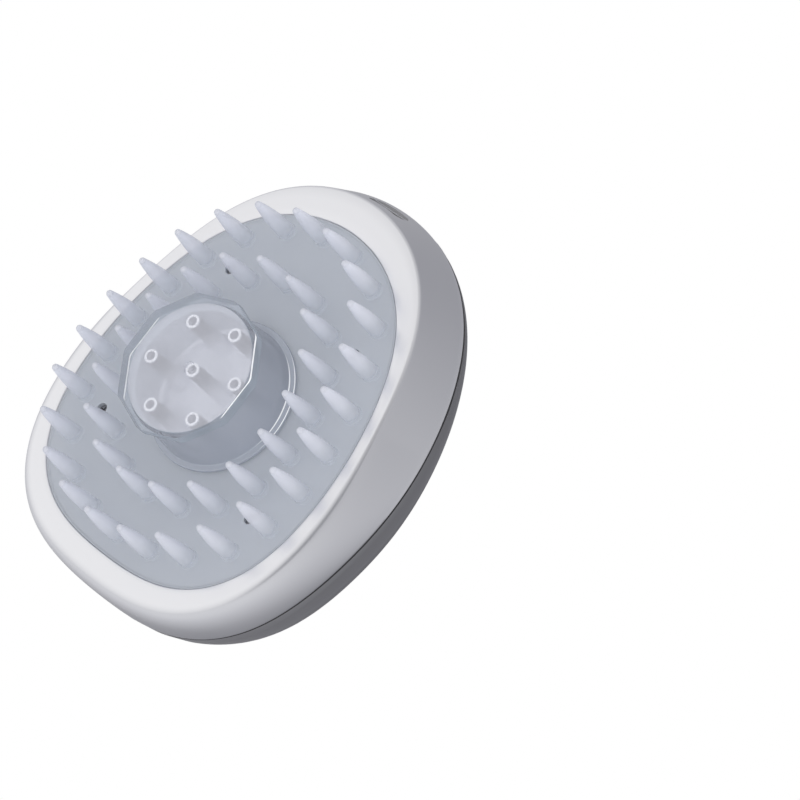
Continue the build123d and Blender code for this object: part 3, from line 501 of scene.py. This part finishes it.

# The slot's own walls are grey, painted shade in place of the ring's silver so the opening reads darker:
# faces inside its outline that don't look along X
ringPiece.data.materials.append(slotGrey)
centres, normals = np.empty((2, len(ringPiece.data.polygons), 3), np.float32)
ringPiece.data.polygons.foreach_get("center", centres.ravel())
ringPiece.data.polygons.foreach_get("normal", normals.ravel())
x, y, z = centres.T / mm
inSlot = (x > ring["portStart"]) & (np.abs(y) < width / 2 + 3 * flare)
inSlot = inSlot & (np.abs(z - ring["portHeight"]) < depth / 2 + 3 * flare) & (np.abs(normals[:, 0]) < 0.4)
ringPiece.data.polygons.foreach_set("material_index", inSlot.astype(np.int32))
print("ring made")

# Dome: a skin seen from a line inside it. Fine ribs lie in planes through that line.
# Angles are in degrees round that line, from 0 at the low edge of one flank to 90 at the crown.
dome = {"turn": 31.1, "slope": -4.2, "offset": 1.2, "lineHeight": 7.9, "firstAngle": -9.0, "lastRib": 83.0,
        "lastAngle": 88.0, "lowPitch": 2.6, "highPitch": 3.6, "ribDepth": 0.24, "ribSamples": 7, "along": 170,
        "endCrowding": 0.15, "under": (190, 350, 33), "skirt": 30.0, "farthest": 90.0, "halvings": 40,
        "phaseLimits": (-20, 95), "tipFade": 37.0, "tipFadeLength": 16.0, "tipFadeLoss": 4.0,
        "tipLossFrom": 30.0, "bluntFade": (-33.0, -24.0), "footFade": (6.0, 11.0), "crownFade": (74.0, 84.0),
        "lowFade": (-9.0, 4.0), "innerSteps": 120, "innerSkirt": 6.0, "buttonHeight": 38.0,
        "buttonHole": 5.8, "holeDepth": 7.0, "holeEdge": -0.4, "holeFlare": 3.4, "holeTop": 3.0,
        "holeSteps": 96}


def domeInside(points):
    # True where a point lies under the dome or in its straight skirt below the base. The dome is the seam's
    # outline, drawn in towards the peak by (1 - share ^ risePower) ^ (1 / planPower) at a share of its rise.
    share = np.clip((points[..., 2] - domeBase) / plan["domeRise"], 0, None)
    scale = np.maximum(1 - np.minimum(share, 1) ** plan["risePower"], 0) ** (1 / plan["planPower"])
    scale = np.maximum(scale, 1e-6)
    x = plan["peakX"] + (points[..., 0] - plan["peakX"]) / scale
    y = points[..., 1] / scale
    within = np.hypot(x, y) < sideRadius(np.arctan2(y, x), 1.0)
    return within & (share < 1) & (points[..., 2] > domeBase - dome["skirt"])


def domeHit(centre, directions):
    # Distance from the centre to the skin along each direction, by halving.
    low, high = np.zeros(directions.shape[:-1]), np.full(directions.shape[:-1], dome["farthest"])
    for _ in range(dome["halvings"]):
        middle = (low + high) / 2
        inside = domeInside(centre + directions * middle[..., None])
        low, high = np.where(inside, middle, low), np.where(inside, high, middle)
    return (low + high) / 2


def smoothStep(value, low, high):
    share = np.clip((value - low) / (high - low), 0, 1)
    return share * share * (3 - 2 * share)


plane, slope = math.radians(dome["turn"]), math.radians(dome["slope"])
along = np.array((math.cos(plane) * math.cos(slope), math.sin(plane) * math.cos(slope), math.sin(slope)))
across = np.array((-math.sin(plane), math.cos(plane), 0.0))
upward = np.cross(along, across)
lineCentre = across * dome["offset"] + np.array((0, 0, domeBase + dome["lineHeight"]))
pitchGrowth = (dome["highPitch"] - dome["lowPitch"]) / dome["lastRib"]


def ribPhase(degrees):
    # Number of ribs below an angle, for a pitch that grows evenly with the angle.
    return np.log1p(pitchGrowth * np.clip(degrees, *dome["phaseLimits"]) / dome["lowPitch"]) / pitchGrowth


# Rows of the skin: evenly spaced in ribs up one flank, the crown, down the other flank, then underneath
phases = np.arange(ribPhase(dome["firstAngle"]), ribPhase(dome["lastAngle"]), 1 / dome["ribSamples"])
flank = dome["lowPitch"] * (np.exp(phases * pitchGrowth) - 1) / pitchGrowth
below = np.linspace(*dome["under"])[1:-1]
turns = np.radians(np.concatenate((flank, [90.0], 180 - flank[::-1], below)))
steps = np.arange(dome["along"] + 1) / dome["along"]
crowding = dome["endCrowding"]  # a share of cosine spacing sets the columns closer at both ends
tilts = np.pi * (1 - np.cos(np.pi * steps) * crowding - (1 - 2 * steps) * (1 - crowding)) / 2
tilts = tilts[1:-1]
sideways = -np.cos(turns)[:, None] * across + np.sin(turns)[:, None] * upward
rays = np.cos(tilts)[None, :, None] * along + np.sin(tilts)[None, :, None] * sideways[:, None, :]
reach = domeHit(lineCentre, rays)
skin = lineCentre + rays * reach[..., None]
degrees = np.degrees(turns)
mirrored = np.where(degrees > 90, 180 - degrees, degrees)

# Ribs: one cosine wave for each pitch, sunk into the skin and faded out towards the tip, the blunt end, the
# foot and the crown
wave = 0.5 - 0.5 * np.cos(2 * np.pi * ribPhase(mirrored))
lineShare = (skin - lineCentre) @ along
tipLoss = dome["tipFadeLoss"] * smoothStep(mirrored, dome["tipLossFrom"], dome["lastRib"])
tipEnd = dome["tipFade"] - tipLoss[:, None]
fade = 1 - smoothStep(lineShare, tipEnd - dome["tipFadeLength"], tipEnd)
fade = fade * smoothStep(lineShare, *dome["bluntFade"])
fade = fade * smoothStep(skin[..., 2] - domeBase, *dome["footFade"])
fade = fade * (1 - smoothStep(mirrored, *dome["crownFade"]))[:, None]
fade = fade * smoothStep(mirrored, *dome["lowFade"])[:, None]
skin = skin - rays * (dome["ribDepth"] * wave[:, None] * fade)[..., None]
poles = [lineCentre + side * along * domeHit(lineCentre, (side * along)[None])[0] for side in (1, -1)]
rowCount, columnCount = skin.shape[:2]
skinPoints = np.concatenate((skin.reshape(-1, 3), np.array(poles)))
skinFaces = gridFaces(rowCount, columnCount, wrapRows=True, wrapColumns=False)
firstPole = rowCount * columnCount
start = np.arange(rowCount) * columnCount
following = np.roll(start, -1)
firstEnd = np.stack((start, following, 0 * start + firstPole), -1)
lastEnd = np.stack((start + columnCount - 1, 0 * start + firstPole + 1, following + columnCount - 1), -1)
skinFaces += np.concatenate((firstEnd, lastEnd)).tolist()

innerAngles = np.arange(dome["innerSteps"]) * 2 * math.pi / dome["innerSteps"]
innerRadius = sideRadius(innerAngles, 1.0, plan["wall"])
innerRows = [(1.0, domeBase - dome["innerSkirt"])]
for scale in (1.0, 0.985, 0.95, 0.89, 0.80, 0.68, 0.54, 0.40, 0.27, 0.15, 0.06):
    rise = (plan["domeRise"] - plan["wall"]) * (1 - scale ** plan["planPower"]) ** (1 / plan["risePower"])
    innerRows.append((scale, domeBase + rise))
peak = np.array((plan["peakX"], 0.0, 0.0))
innerPoints = np.concatenate([
    peak + (ringPointsAt(innerAngles, innerRadius, 0.0) - peak) * scale + np.array((0.0, 0.0, z))
    for scale, z in innerRows])
lastRow = (len(innerRows) - 1) * dome["innerSteps"]
innerFaces = gridFaces(len(innerRows), dome["innerSteps"])
innerFaces += [list(range(dome["innerSteps"])), list(range(lastRow, lastRow + dome["innerSteps"]))]

# The button's place: on the dome's blunt end, square to its skin
share = (dome["buttonHeight"] - domeBase) / plan["domeRise"]
blunt = float(sideRadius(np.array(math.pi), 1.0)) + plan["peakX"]


def endX(heightShare):
    return plan["peakX"] - blunt * (1 - heightShare ** plan["risePower"]) ** (1 / plan["planPower"])


buttonCentre = np.array((endX(share), 0.0, dome["buttonHeight"]))
buttonOut = np.array((-0.01 * plan["domeRise"], 0.0, endX(share + 0.01) - endX(share)))
buttonOut = buttonOut / np.linalg.norm(buttonOut)
buttonSide = np.array((0.0, 1.0, 0.0))
buttonUp = np.cross(buttonOut, buttonSide)


def onButton(line, steps):
    # A line (radius, height) turned about the button's axis.
    points, faces = turned(line, steps)
    sideways, upwards, outwards = points[:, :1], points[:, 1:2], points[:, 2:]
    return buttonCentre + sideways * buttonSide + upwards * buttonUp + outwards * buttonOut, faces


hole = dome["buttonHole"]
holeCutter = onButton([(0, -dome["holeDepth"]), (hole, -dome["holeDepth"]), (hole, dome["holeEdge"]),
                       (hole + dome["holeFlare"], dome["holeTop"]), (0, dome["holeTop"])], dome["holeSteps"])
addPiece("domeShell", skinPoints, skinFaces, domeSilver, "housing", "top_cover", ["top_cover"], 40,
         [(innerPoints, innerFaces), holeCutter], domeBase)
print("dome made")

# Power button: a lathed cap with a shallow dish and a rounded edge
button = {"radius": 5.5, "flangeRadius": 6.8, "flangeTop": -3.5, "flangeBottom": -4.5, "proud": 0.6,
          "dish": 0.25, "dishMargin": 1.2, "edge": 0.5, "steps": 96}
dishRadius = button["radius"] - button["dishMargin"]
buttonLine = roundedLine([(0, button["flangeBottom"], 0),
                          (button["flangeRadius"], button["flangeBottom"], 0.1),
                          (button["flangeRadius"], button["flangeTop"], 0.1),
                          (button["radius"], button["flangeTop"], 0.05),
                          (button["radius"], button["proud"], button["edge"]),
                          (dishRadius, button["proud"], 0)])
away = dishRadius * (1 - np.arange(1, 9) / 8)  # the dish is a shallow parabola
dishLine = np.stack((away, button["proud"] - button["dish"] * (1 - (away / dishRadius) ** 2)), -1)
addPiece("buttonCap", *onButton(np.concatenate((buttonLine, dishLine)), button["steps"]), silver, "button",
         "power_button", ["power_button"], 40)
print("button made")

# Silicone: the pad sheet and its two rings of bristles
pad = {"face": 15.2, "thickness": 2.0, "hole": 13.75, "holeEdge": 0.15, "edgeGap": 0.03, "lip": 0.28,
       "lipWidth": 0.7, "steps": 240, "length": 12.6, "tip": 0.7, "root": 1.8, "bulge": 2.0, "fillet": 0.2,
       "filletReach": 0.16, "sunk": 0.05, "tipAngle": 83, "outer": 23, "inner": 17, "bristleSteps": 28,
       "screws": ((20.7, 18.2), (20.7, -18.2), (-15.6, 22.2), (-15.6, -22.2)), "screwHole": 1.15,
       "holeSteps": 32}
angles = np.arange(pad["steps"]) * 2 * math.pi / pad["steps"]
edge = series("face", angles) - series("band", angles) - pad["edgeGap"]
rows = [(pad["hole"], pad["face"] + pad["thickness"]), (pad["hole"], pad["face"] + pad["holeEdge"]),
        (pad["hole"] + pad["holeEdge"], pad["face"])]
rows += [(pad["hole"] + (edge - pad["hole"]) * share, pad["face"]) for share in (0.25, 0.5, 0.75)]
for share in np.linspace(0, 1, 6):
    rise = pad["lip"] * share * share * (3 - 2 * share)
    rows.append((edge - pad["lipWidth"] * (1 - share), pad["face"] - rise))
rows.append((edge, pad["face"] + pad["thickness"]))
padPoints = np.concatenate([ringPointsAt(angles, r, z) for r, z in rows])
padPart = (padPoints, gridFaces(len(rows), pad["steps"], wrapRows=True))


def spacedPoints(name, count):
    # Points on a closed outline, equally spaced along it, the first on the axis at the blunt end.
    fine = np.linspace(0, 2 * math.pi, 4001)
    radius = series(name, fine)
    x, y = radius * np.cos(fine), radius * np.sin(fine)
    length = np.concatenate(([0], np.cumsum(np.hypot(np.diff(x), np.diff(y)))))
    wanted = (0.5 + np.arange(count) / count) % 1 * length[-1]
    return np.stack((np.interp(wanted, length, x), np.interp(wanted, length, y)), -1)


# A bristle's line (radius, height): a round tip, a flank that swells by 1 - (1 - share) ^ bulge, a root
# fillet, and an end just inside the pad
lowest = pad["face"] - pad["length"]
turn = np.radians(pad["tipAngle"]) * np.arange(9) / 8
tipLine = np.stack((pad["tip"] * np.sin(turn), lowest + pad["tip"] * (1 - np.cos(turn))), -1)
share = np.arange(1, 9) / 9
flankLine = np.stack((pad["tip"] + (pad["root"] - pad["tip"]) * (1 - (1 - share) ** pad["bulge"]),
                      lowest + pad["tip"] + (pad["length"] - pad["tip"] - pad["fillet"]) * share), -1)
turn = np.radians(90) * np.arange(7) / 6
rootLine = np.stack((pad["root"] + pad["filletReach"] * (1 - np.cos(turn)),
                     pad["face"] - pad["fillet"] * (1 - np.sin(turn))), -1)
sunk = pad["face"] + pad["sunk"]
endLine = [(pad["root"] + pad["filletReach"], sunk), (0.0, sunk)]
bristleLine = np.concatenate((tipLine, flankLine, rootLine, endLine))
spots = np.concatenate((spacedPoints("outerBristles", pad["outer"]),
                        spacedPoints("innerBristles", pad["inner"])))
bristleParts = [turned(bristleLine, pad["bristleSteps"], spot) for spot in spots]
under, over = pad["face"] - 1, pad["face"] + pad["thickness"] + 1
holeLine = [(0, under), (pad["screwHole"], under), (pad["screwHole"], over), (0, over)]
holes = [turned(holeLine, pad["holeSteps"], spot) for spot in pad["screws"]]
addPiece("siliconePad", *padPart, silicone, "housing", "bristle_pad", ["bristle_pad"], 40, holes)
bristlePiece = addPiece("siliconeBristles", *joined(bristleParts), bristleSilicone, "housing", "bristles",
                        ["bristles"], 60)
bristlePiece.visible_shadow = False
print("silicone made")

# Clear cap: a lathed cup, and a ten-sided rim with rounded corners at its closed end
cap = {"endRadius": 13.5, "wall": 1.0, "endThickness": 1.2, "bore": 13.46, "flange": 15.66,
       "flangeTop": 14.9, "flangeThickness": 0.9, "grip": 3.1, "rimRadius": 15.1, "rimSides": 10,
       "rimCorner": 2.5, "rimHeight": 2.6, "rimInset": 14.2, "rimFootRound": 0.35, "rimTopRound": 0.3,
       "floorRadius": 13.3, "dimple": 0.2, "steps": 180}
shoulder = cap["flangeTop"] - cap["flangeThickness"]
innerFoot = cap["endRadius"] - cap["wall"]


def rimRadius(angle):
    # Radius of a ten-sided outline: the flat's distance over the cosine, with its corners cut by a circle.
    step = 2 * math.pi / cap["rimSides"]
    local = np.abs((angle + step / 2) % step - step / 2)
    apothem = cap["rimRadius"] * math.cos(step / 2)
    flat = apothem / np.cos(step / 2 - local)
    corner = cap["rimRadius"] - cap["rimCorner"] / math.cos(step / 2) * (1 - math.cos(step / 2))
    return np.minimum(flat, corner)


capAngles = np.arange(cap["steps"]) * 2 * math.pi / cap["steps"]
rim = rimRadius(capAngles)
outline = [(0.0, 0.0), (6.0, 0.0), (innerFoot - 0.3, 0.0), (innerFoot, 0.0)]
for k in range(5):
    turn, edge = math.radians(90) * k / 4, cap["rimFootRound"]
    outline.append((rim - edge + edge * math.sin(turn), edge - edge * math.cos(turn)))
for k in range(5):
    turn, edge = math.radians(90) * k / 4, cap["rimTopRound"]
    outline.append((rim - edge + edge * math.cos(turn), cap["rimHeight"] - edge + edge * math.sin(turn)))
wallFoot = cap["endRadius"] + (cap["bore"] + cap["wall"] - cap["endRadius"]) * cap["rimHeight"] / shoulder
outline += roundedLine([
    (cap["rimInset"], cap["rimHeight"], 0), (wallFoot, cap["rimHeight"], 0.25),
    (cap["bore"] + cap["wall"], shoulder, 0.3), (cap["flange"], shoulder, 0.25),
    (cap["flange"], cap["flangeTop"], 0.25), (cap["bore"], cap["flangeTop"], 0.15),
    (cap["bore"], cap["flangeTop"] - cap["grip"], 0), (innerFoot, cap["rimHeight"] + 0.4, 0.2),
    (cap["floorRadius"], cap["rimHeight"] - 0.2, 0.2), (cap["floorRadius"], cap["endThickness"], 0.3),
    (1.2, cap["endThickness"], 0), (1.0, cap["endThickness"] - cap["dimple"], 0),
    (0.8, cap["endThickness"], 0), (0.0, cap["endThickness"], 0)])
capPoints = np.concatenate([ringPointsAt(capAngles, r, z) for r, z in outline])
capPiece = addPiece("clearCap", capPoints, gridFaces(len(outline), cap["steps"]), clear, "cap", "clear_cap",
                    ["clear_cap"], 35)
capPiece.visible_shadow = False
print("cap made")

# Valve springs: a round wire along a helix behind each ball
spring = {"wire": 0.14, "radius": 0.78, "bottom": 3.72, "top": 7.86, "turns": 5, "steps": 120, "sides": 8,
          "seat": 8.0, "stroke": 0.4}
turn = np.linspace(0, 2 * math.pi * spring["turns"], spring["steps"] + 1)[:, None]
climb = (spring["top"] - spring["bottom"]) / (2 * math.pi * spring["turns"])
outward = np.hstack((np.cos(turn), np.sin(turn), 0 * turn))
heading = np.hstack((-spring["radius"] * np.sin(turn), spring["radius"] * np.cos(turn), climb + 0 * turn))
sideward = np.cross(heading / np.linalg.norm(heading, axis=1)[:, None], outward)
middle = spring["radius"] * outward + np.hstack((0 * turn, 0 * turn, spring["bottom"] + climb * turn))
# A wire point is the helix point plus the wire's radius, turned between outward and sideward.
around = (np.arange(spring["sides"]) * 2 * math.pi / spring["sides"])[None, :, None]
reachOut = np.cos(around) * outward[:, None] + np.sin(around) * sideward[:, None]
wire = (middle[:, None] + spring["wire"] * reachOut).reshape(-1, 3)
wireFaces = gridFaces(spring["steps"] + 1, spring["sides"])
wireFaces += [list(range(spring["sides"])), list(range(len(wire) - spring["sides"], len(wire)))]
for number in range(1, 8):
    low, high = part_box(f"nozzle_ball_{number}")
    spot = np.array(((low[0] + high[0]) / 2, (low[1] + high[1]) / 2, 0.0))
    coil = addPiece(f"valveSpring{number}", wire + spot / mm, wireFaces, innerSteel, "nozzle_head",
                    "valve_springs", ["valve_springs"], 60)
    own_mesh(coil)
print("springs made")


def stageObject(name, mesh, material, seenBy):
    # A floor or backdrop that only the named kinds of ray see.
    mesh.materials.append(material)
    stage = bpy.data.objects.new(name, mesh)
    bpy.context.scene.collection.objects.link(stage)
    for kind in ("camera", "diffuse", "glossy", "transmission", "shadow"):
        setattr(stage, "visible_" + kind, kind in seenBy)


# Floor: seen and shadowed from above only. Far from the device it melts into the white background.
floorLook = {"half": 3.0, "tone": 0.95, "fade": (120, 700)}
half = floorLook["half"]
floorMesh = bpy.data.meshes.new("floor")
floorCorners = [(-half, -half, 0), (half, -half, 0), (half, half, 0), (-half, half, 0)]
floorMesh.from_pydata(floorCorners, [], [(0, 1, 2, 3)])
floorMaterial, tree, shader = newMaterial("floor", Roughness=0.9)
shader.inputs["Specular IOR Level"].default_value = 0.0
away = radiusValue(tree, *floorLook["fade"])
tree.links.new(mixed(tree, away, grey(floorLook["tone"]), grey(0)), shader.inputs["Base Color"])
shader.inputs["Emission Color"].default_value = (1, 1, 1, 1)
tree.links.new(away, shader.inputs["Emission Strength"])
geometry = tree.nodes.new("ShaderNodeNewGeometry")
seeThrough = tree.nodes.new("ShaderNodeBsdfTransparent")
mix = tree.nodes.new("ShaderNodeMixShader")
tree.links.new(geometry.outputs["Backfacing"], mix.inputs["Fac"])
tree.links.new(shader.outputs["BSDF"], mix.inputs[1])
tree.links.new(seeThrough.outputs["BSDF"], mix.inputs[2])
tree.links.new(mix.outputs["Shader"], tree.nodes["Material Output"].inputs["Surface"])
stageObject("floor", floorMesh, floorMaterial, ("camera",))

# Reflector: a shell far away, seen in reflections only: white below, dark overhead, darker towards the tip.
# A dark card near the camera is what the faces that look straight at it reflect.
shell = {"radius": 2.5, "rings": 33, "steps": 48, "tipwards": (0.95, 0.3, 0), "tipTone": (0.50, 0.50, 0.52),
         "card": (0.0, 0.38, -0.92), "cardTone": (0.22, 0.22, 0.24),
         "upwards": [(0.0, (1, 1, 1)), (0.5, (0.97, 0.97, 0.98)), (0.65, (0.85, 0.85, 0.87)),
                     (0.82, (0.62, 0.62, 0.64)), (0.90, (0.20, 0.20, 0.22)), (1.0, (0.16, 0.16, 0.18))]}
lift = np.linspace(-1.57, 1.57, shell["rings"])[:, None]
turn = np.arange(shell["steps"]) * 2 * math.pi / shell["steps"]
shellPoints = shell["radius"] * np.stack((np.cos(lift) * np.cos(turn), np.cos(lift) * np.sin(turn),
                                          np.sin(lift) + 0 * turn), -1)
shellMesh = bpy.data.meshes.new("reflector")
shellMesh.from_pydata(shellPoints.reshape(-1, 3).tolist(), [], gridFaces(shell["rings"], shell["steps"]))
shellMaterial = bpy.data.materials.new("reflector")
shellMaterial.use_nodes = True
tree = shellMaterial.node_tree
tree.nodes.remove(tree.nodes["Principled BSDF"])
glow = tree.nodes.new("ShaderNodeEmission")
far = shell["radius"] / mm
overhead = ramp(tree, heightValue(tree, -far, far), shell["upwards"])
tipwards = ramp(tree, alongValue(tree, shell["tipwards"], -far, far),
                [(0.4, grey(1)), (0.985, shell["tipTone"])])
shaded = tree.nodes.new("ShaderNodeMix")
shaded.data_type = "RGBA"
shaded.blend_type = "MULTIPLY"
shaded.inputs["Factor"].default_value = 1.0
tree.links.new(overhead, shaded.inputs["A"])
tree.links.new(tipwards, shaded.inputs["B"])
card = ramp(tree, alongValue(tree, shell["card"], 0, far), [(0.90, grey(0)), (0.96, grey(1))])
tree.links.new(mixed(tree, card, shaded.outputs["Result"], shell["cardTone"]), glow.inputs["Color"])
tree.links.new(glow.outputs["Emission"], tree.nodes["Material Output"].inputs["Surface"])
stageObject("reflector", shellMesh, shellMaterial, ("glossy",))

# World: white to the camera, pale light for everything else
world = bpy.data.worlds.new("studio")
bpy.context.scene.world = world
world.use_nodes = True
tree = world.node_tree
background = tree.nodes["Background"]
background.inputs["Strength"].default_value = 1.0
seen = tree.nodes.new("ShaderNodeBackground")
seen.inputs["Color"].default_value = (1, 1, 1, 1)
path = tree.nodes.new("ShaderNodeLightPath")
choose = tree.nodes.new("ShaderNodeMixShader")
where = tree.nodes.new("ShaderNodeTexCoord")
split = tree.nodes.new("ShaderNodeSeparateXYZ")
tree.links.new(where.outputs["Generated"], split.inputs["Vector"])
stops = [(0.0, (0.86, 0.86, 0.87)), (0.42, (0.78, 0.78, 0.80)), (0.56, (0.60, 0.60, 0.62)),
         (1.0, (0.60, 0.60, 0.62))]
upwards = rangeShare(tree, split.outputs["Z"], -1, 1)
tree.links.new(ramp(tree, upwards, stops), background.inputs["Color"])
whiteFor = path.outputs["Is Camera Ray"]
for kind in ("Is Glossy Ray", "Is Transmission Ray"):
    either = tree.nodes.new("ShaderNodeMath")
    either.operation = "MAXIMUM"
    tree.links.new(whiteFor, either.inputs[0])
    tree.links.new(path.outputs[kind], either.inputs[1])
    whiteFor = either.outputs["Value"]
tree.links.new(whiteFor, choose.inputs["Fac"])
tree.links.new(background.outputs["Background"], choose.inputs[1])
tree.links.new(seen.outputs["Background"], choose.inputs[2])
tree.links.new(choose.outputs["Shader"], tree.nodes["World Output"].inputs["Surface"])


def areaLamp(name, place, size, power, target=(0, 0, 0.02)):
    data = bpy.data.lights.new(name, "AREA")
    data.shape = "RECTANGLE"
    data.size, data.size_y = size
    data.energy = power
    lamp = bpy.data.objects.new(name, data)
    lamp.location = place
    lamp.rotation_euler = (Vector(target) - Vector(place)).to_track_quat("-Z", "Y").to_euler()
    lamp.visible_glossy = False
    bpy.context.scene.collection.objects.link(lamp)


lamps = {"keyAbove": {"place": (-0.25, -0.45, 0.75), "size": (0.5, 0.5), "power": 6.0},
         "fillAbove": {"place": (0.6, 0.3, 0.6), "size": (0.4, 0.6), "power": 3.0},
         "keyBelow": {"place": (-0.20, 0.45, -0.60), "size": (0.6, 0.6), "power": 2.5}}
for name, lamp in lamps.items():
    areaLamp(name, **lamp)
print("stage and light made")

# Camera: where the photograph was taken from, below the bristles
cameraLook = {"lens": 198.8, "sensor": 36, "nearest": 0.01, "place": (-0.03147, 0.52016, -0.64085),
              "right": (0.6092, 0.6583, 0.4421), "back": (-0.0613, 0.5949, -0.8014)}
cameraData = bpy.data.cameras.new("camera")
cameraData.lens = cameraLook["lens"]
cameraData.sensor_width = cameraLook["sensor"]
cameraData.clip_start = cameraLook["nearest"]
camera = bpy.data.objects.new("camera", cameraData)
bpy.context.scene.collection.objects.link(camera)
right = Vector(cameraLook["right"]).normalized()
back = Vector(cameraLook["back"])
back = (back - right * back.dot(right)).normalized()
heldAs = Matrix((right, back.cross(right), back)).transposed().to_4x4()
camera.matrix_world = Matrix.Translation(cameraLook["place"]) @ heldAs
bpy.context.scene.camera = camera
bpy.context.scene.view_settings.view_transform = "Standard"
print("camera made")
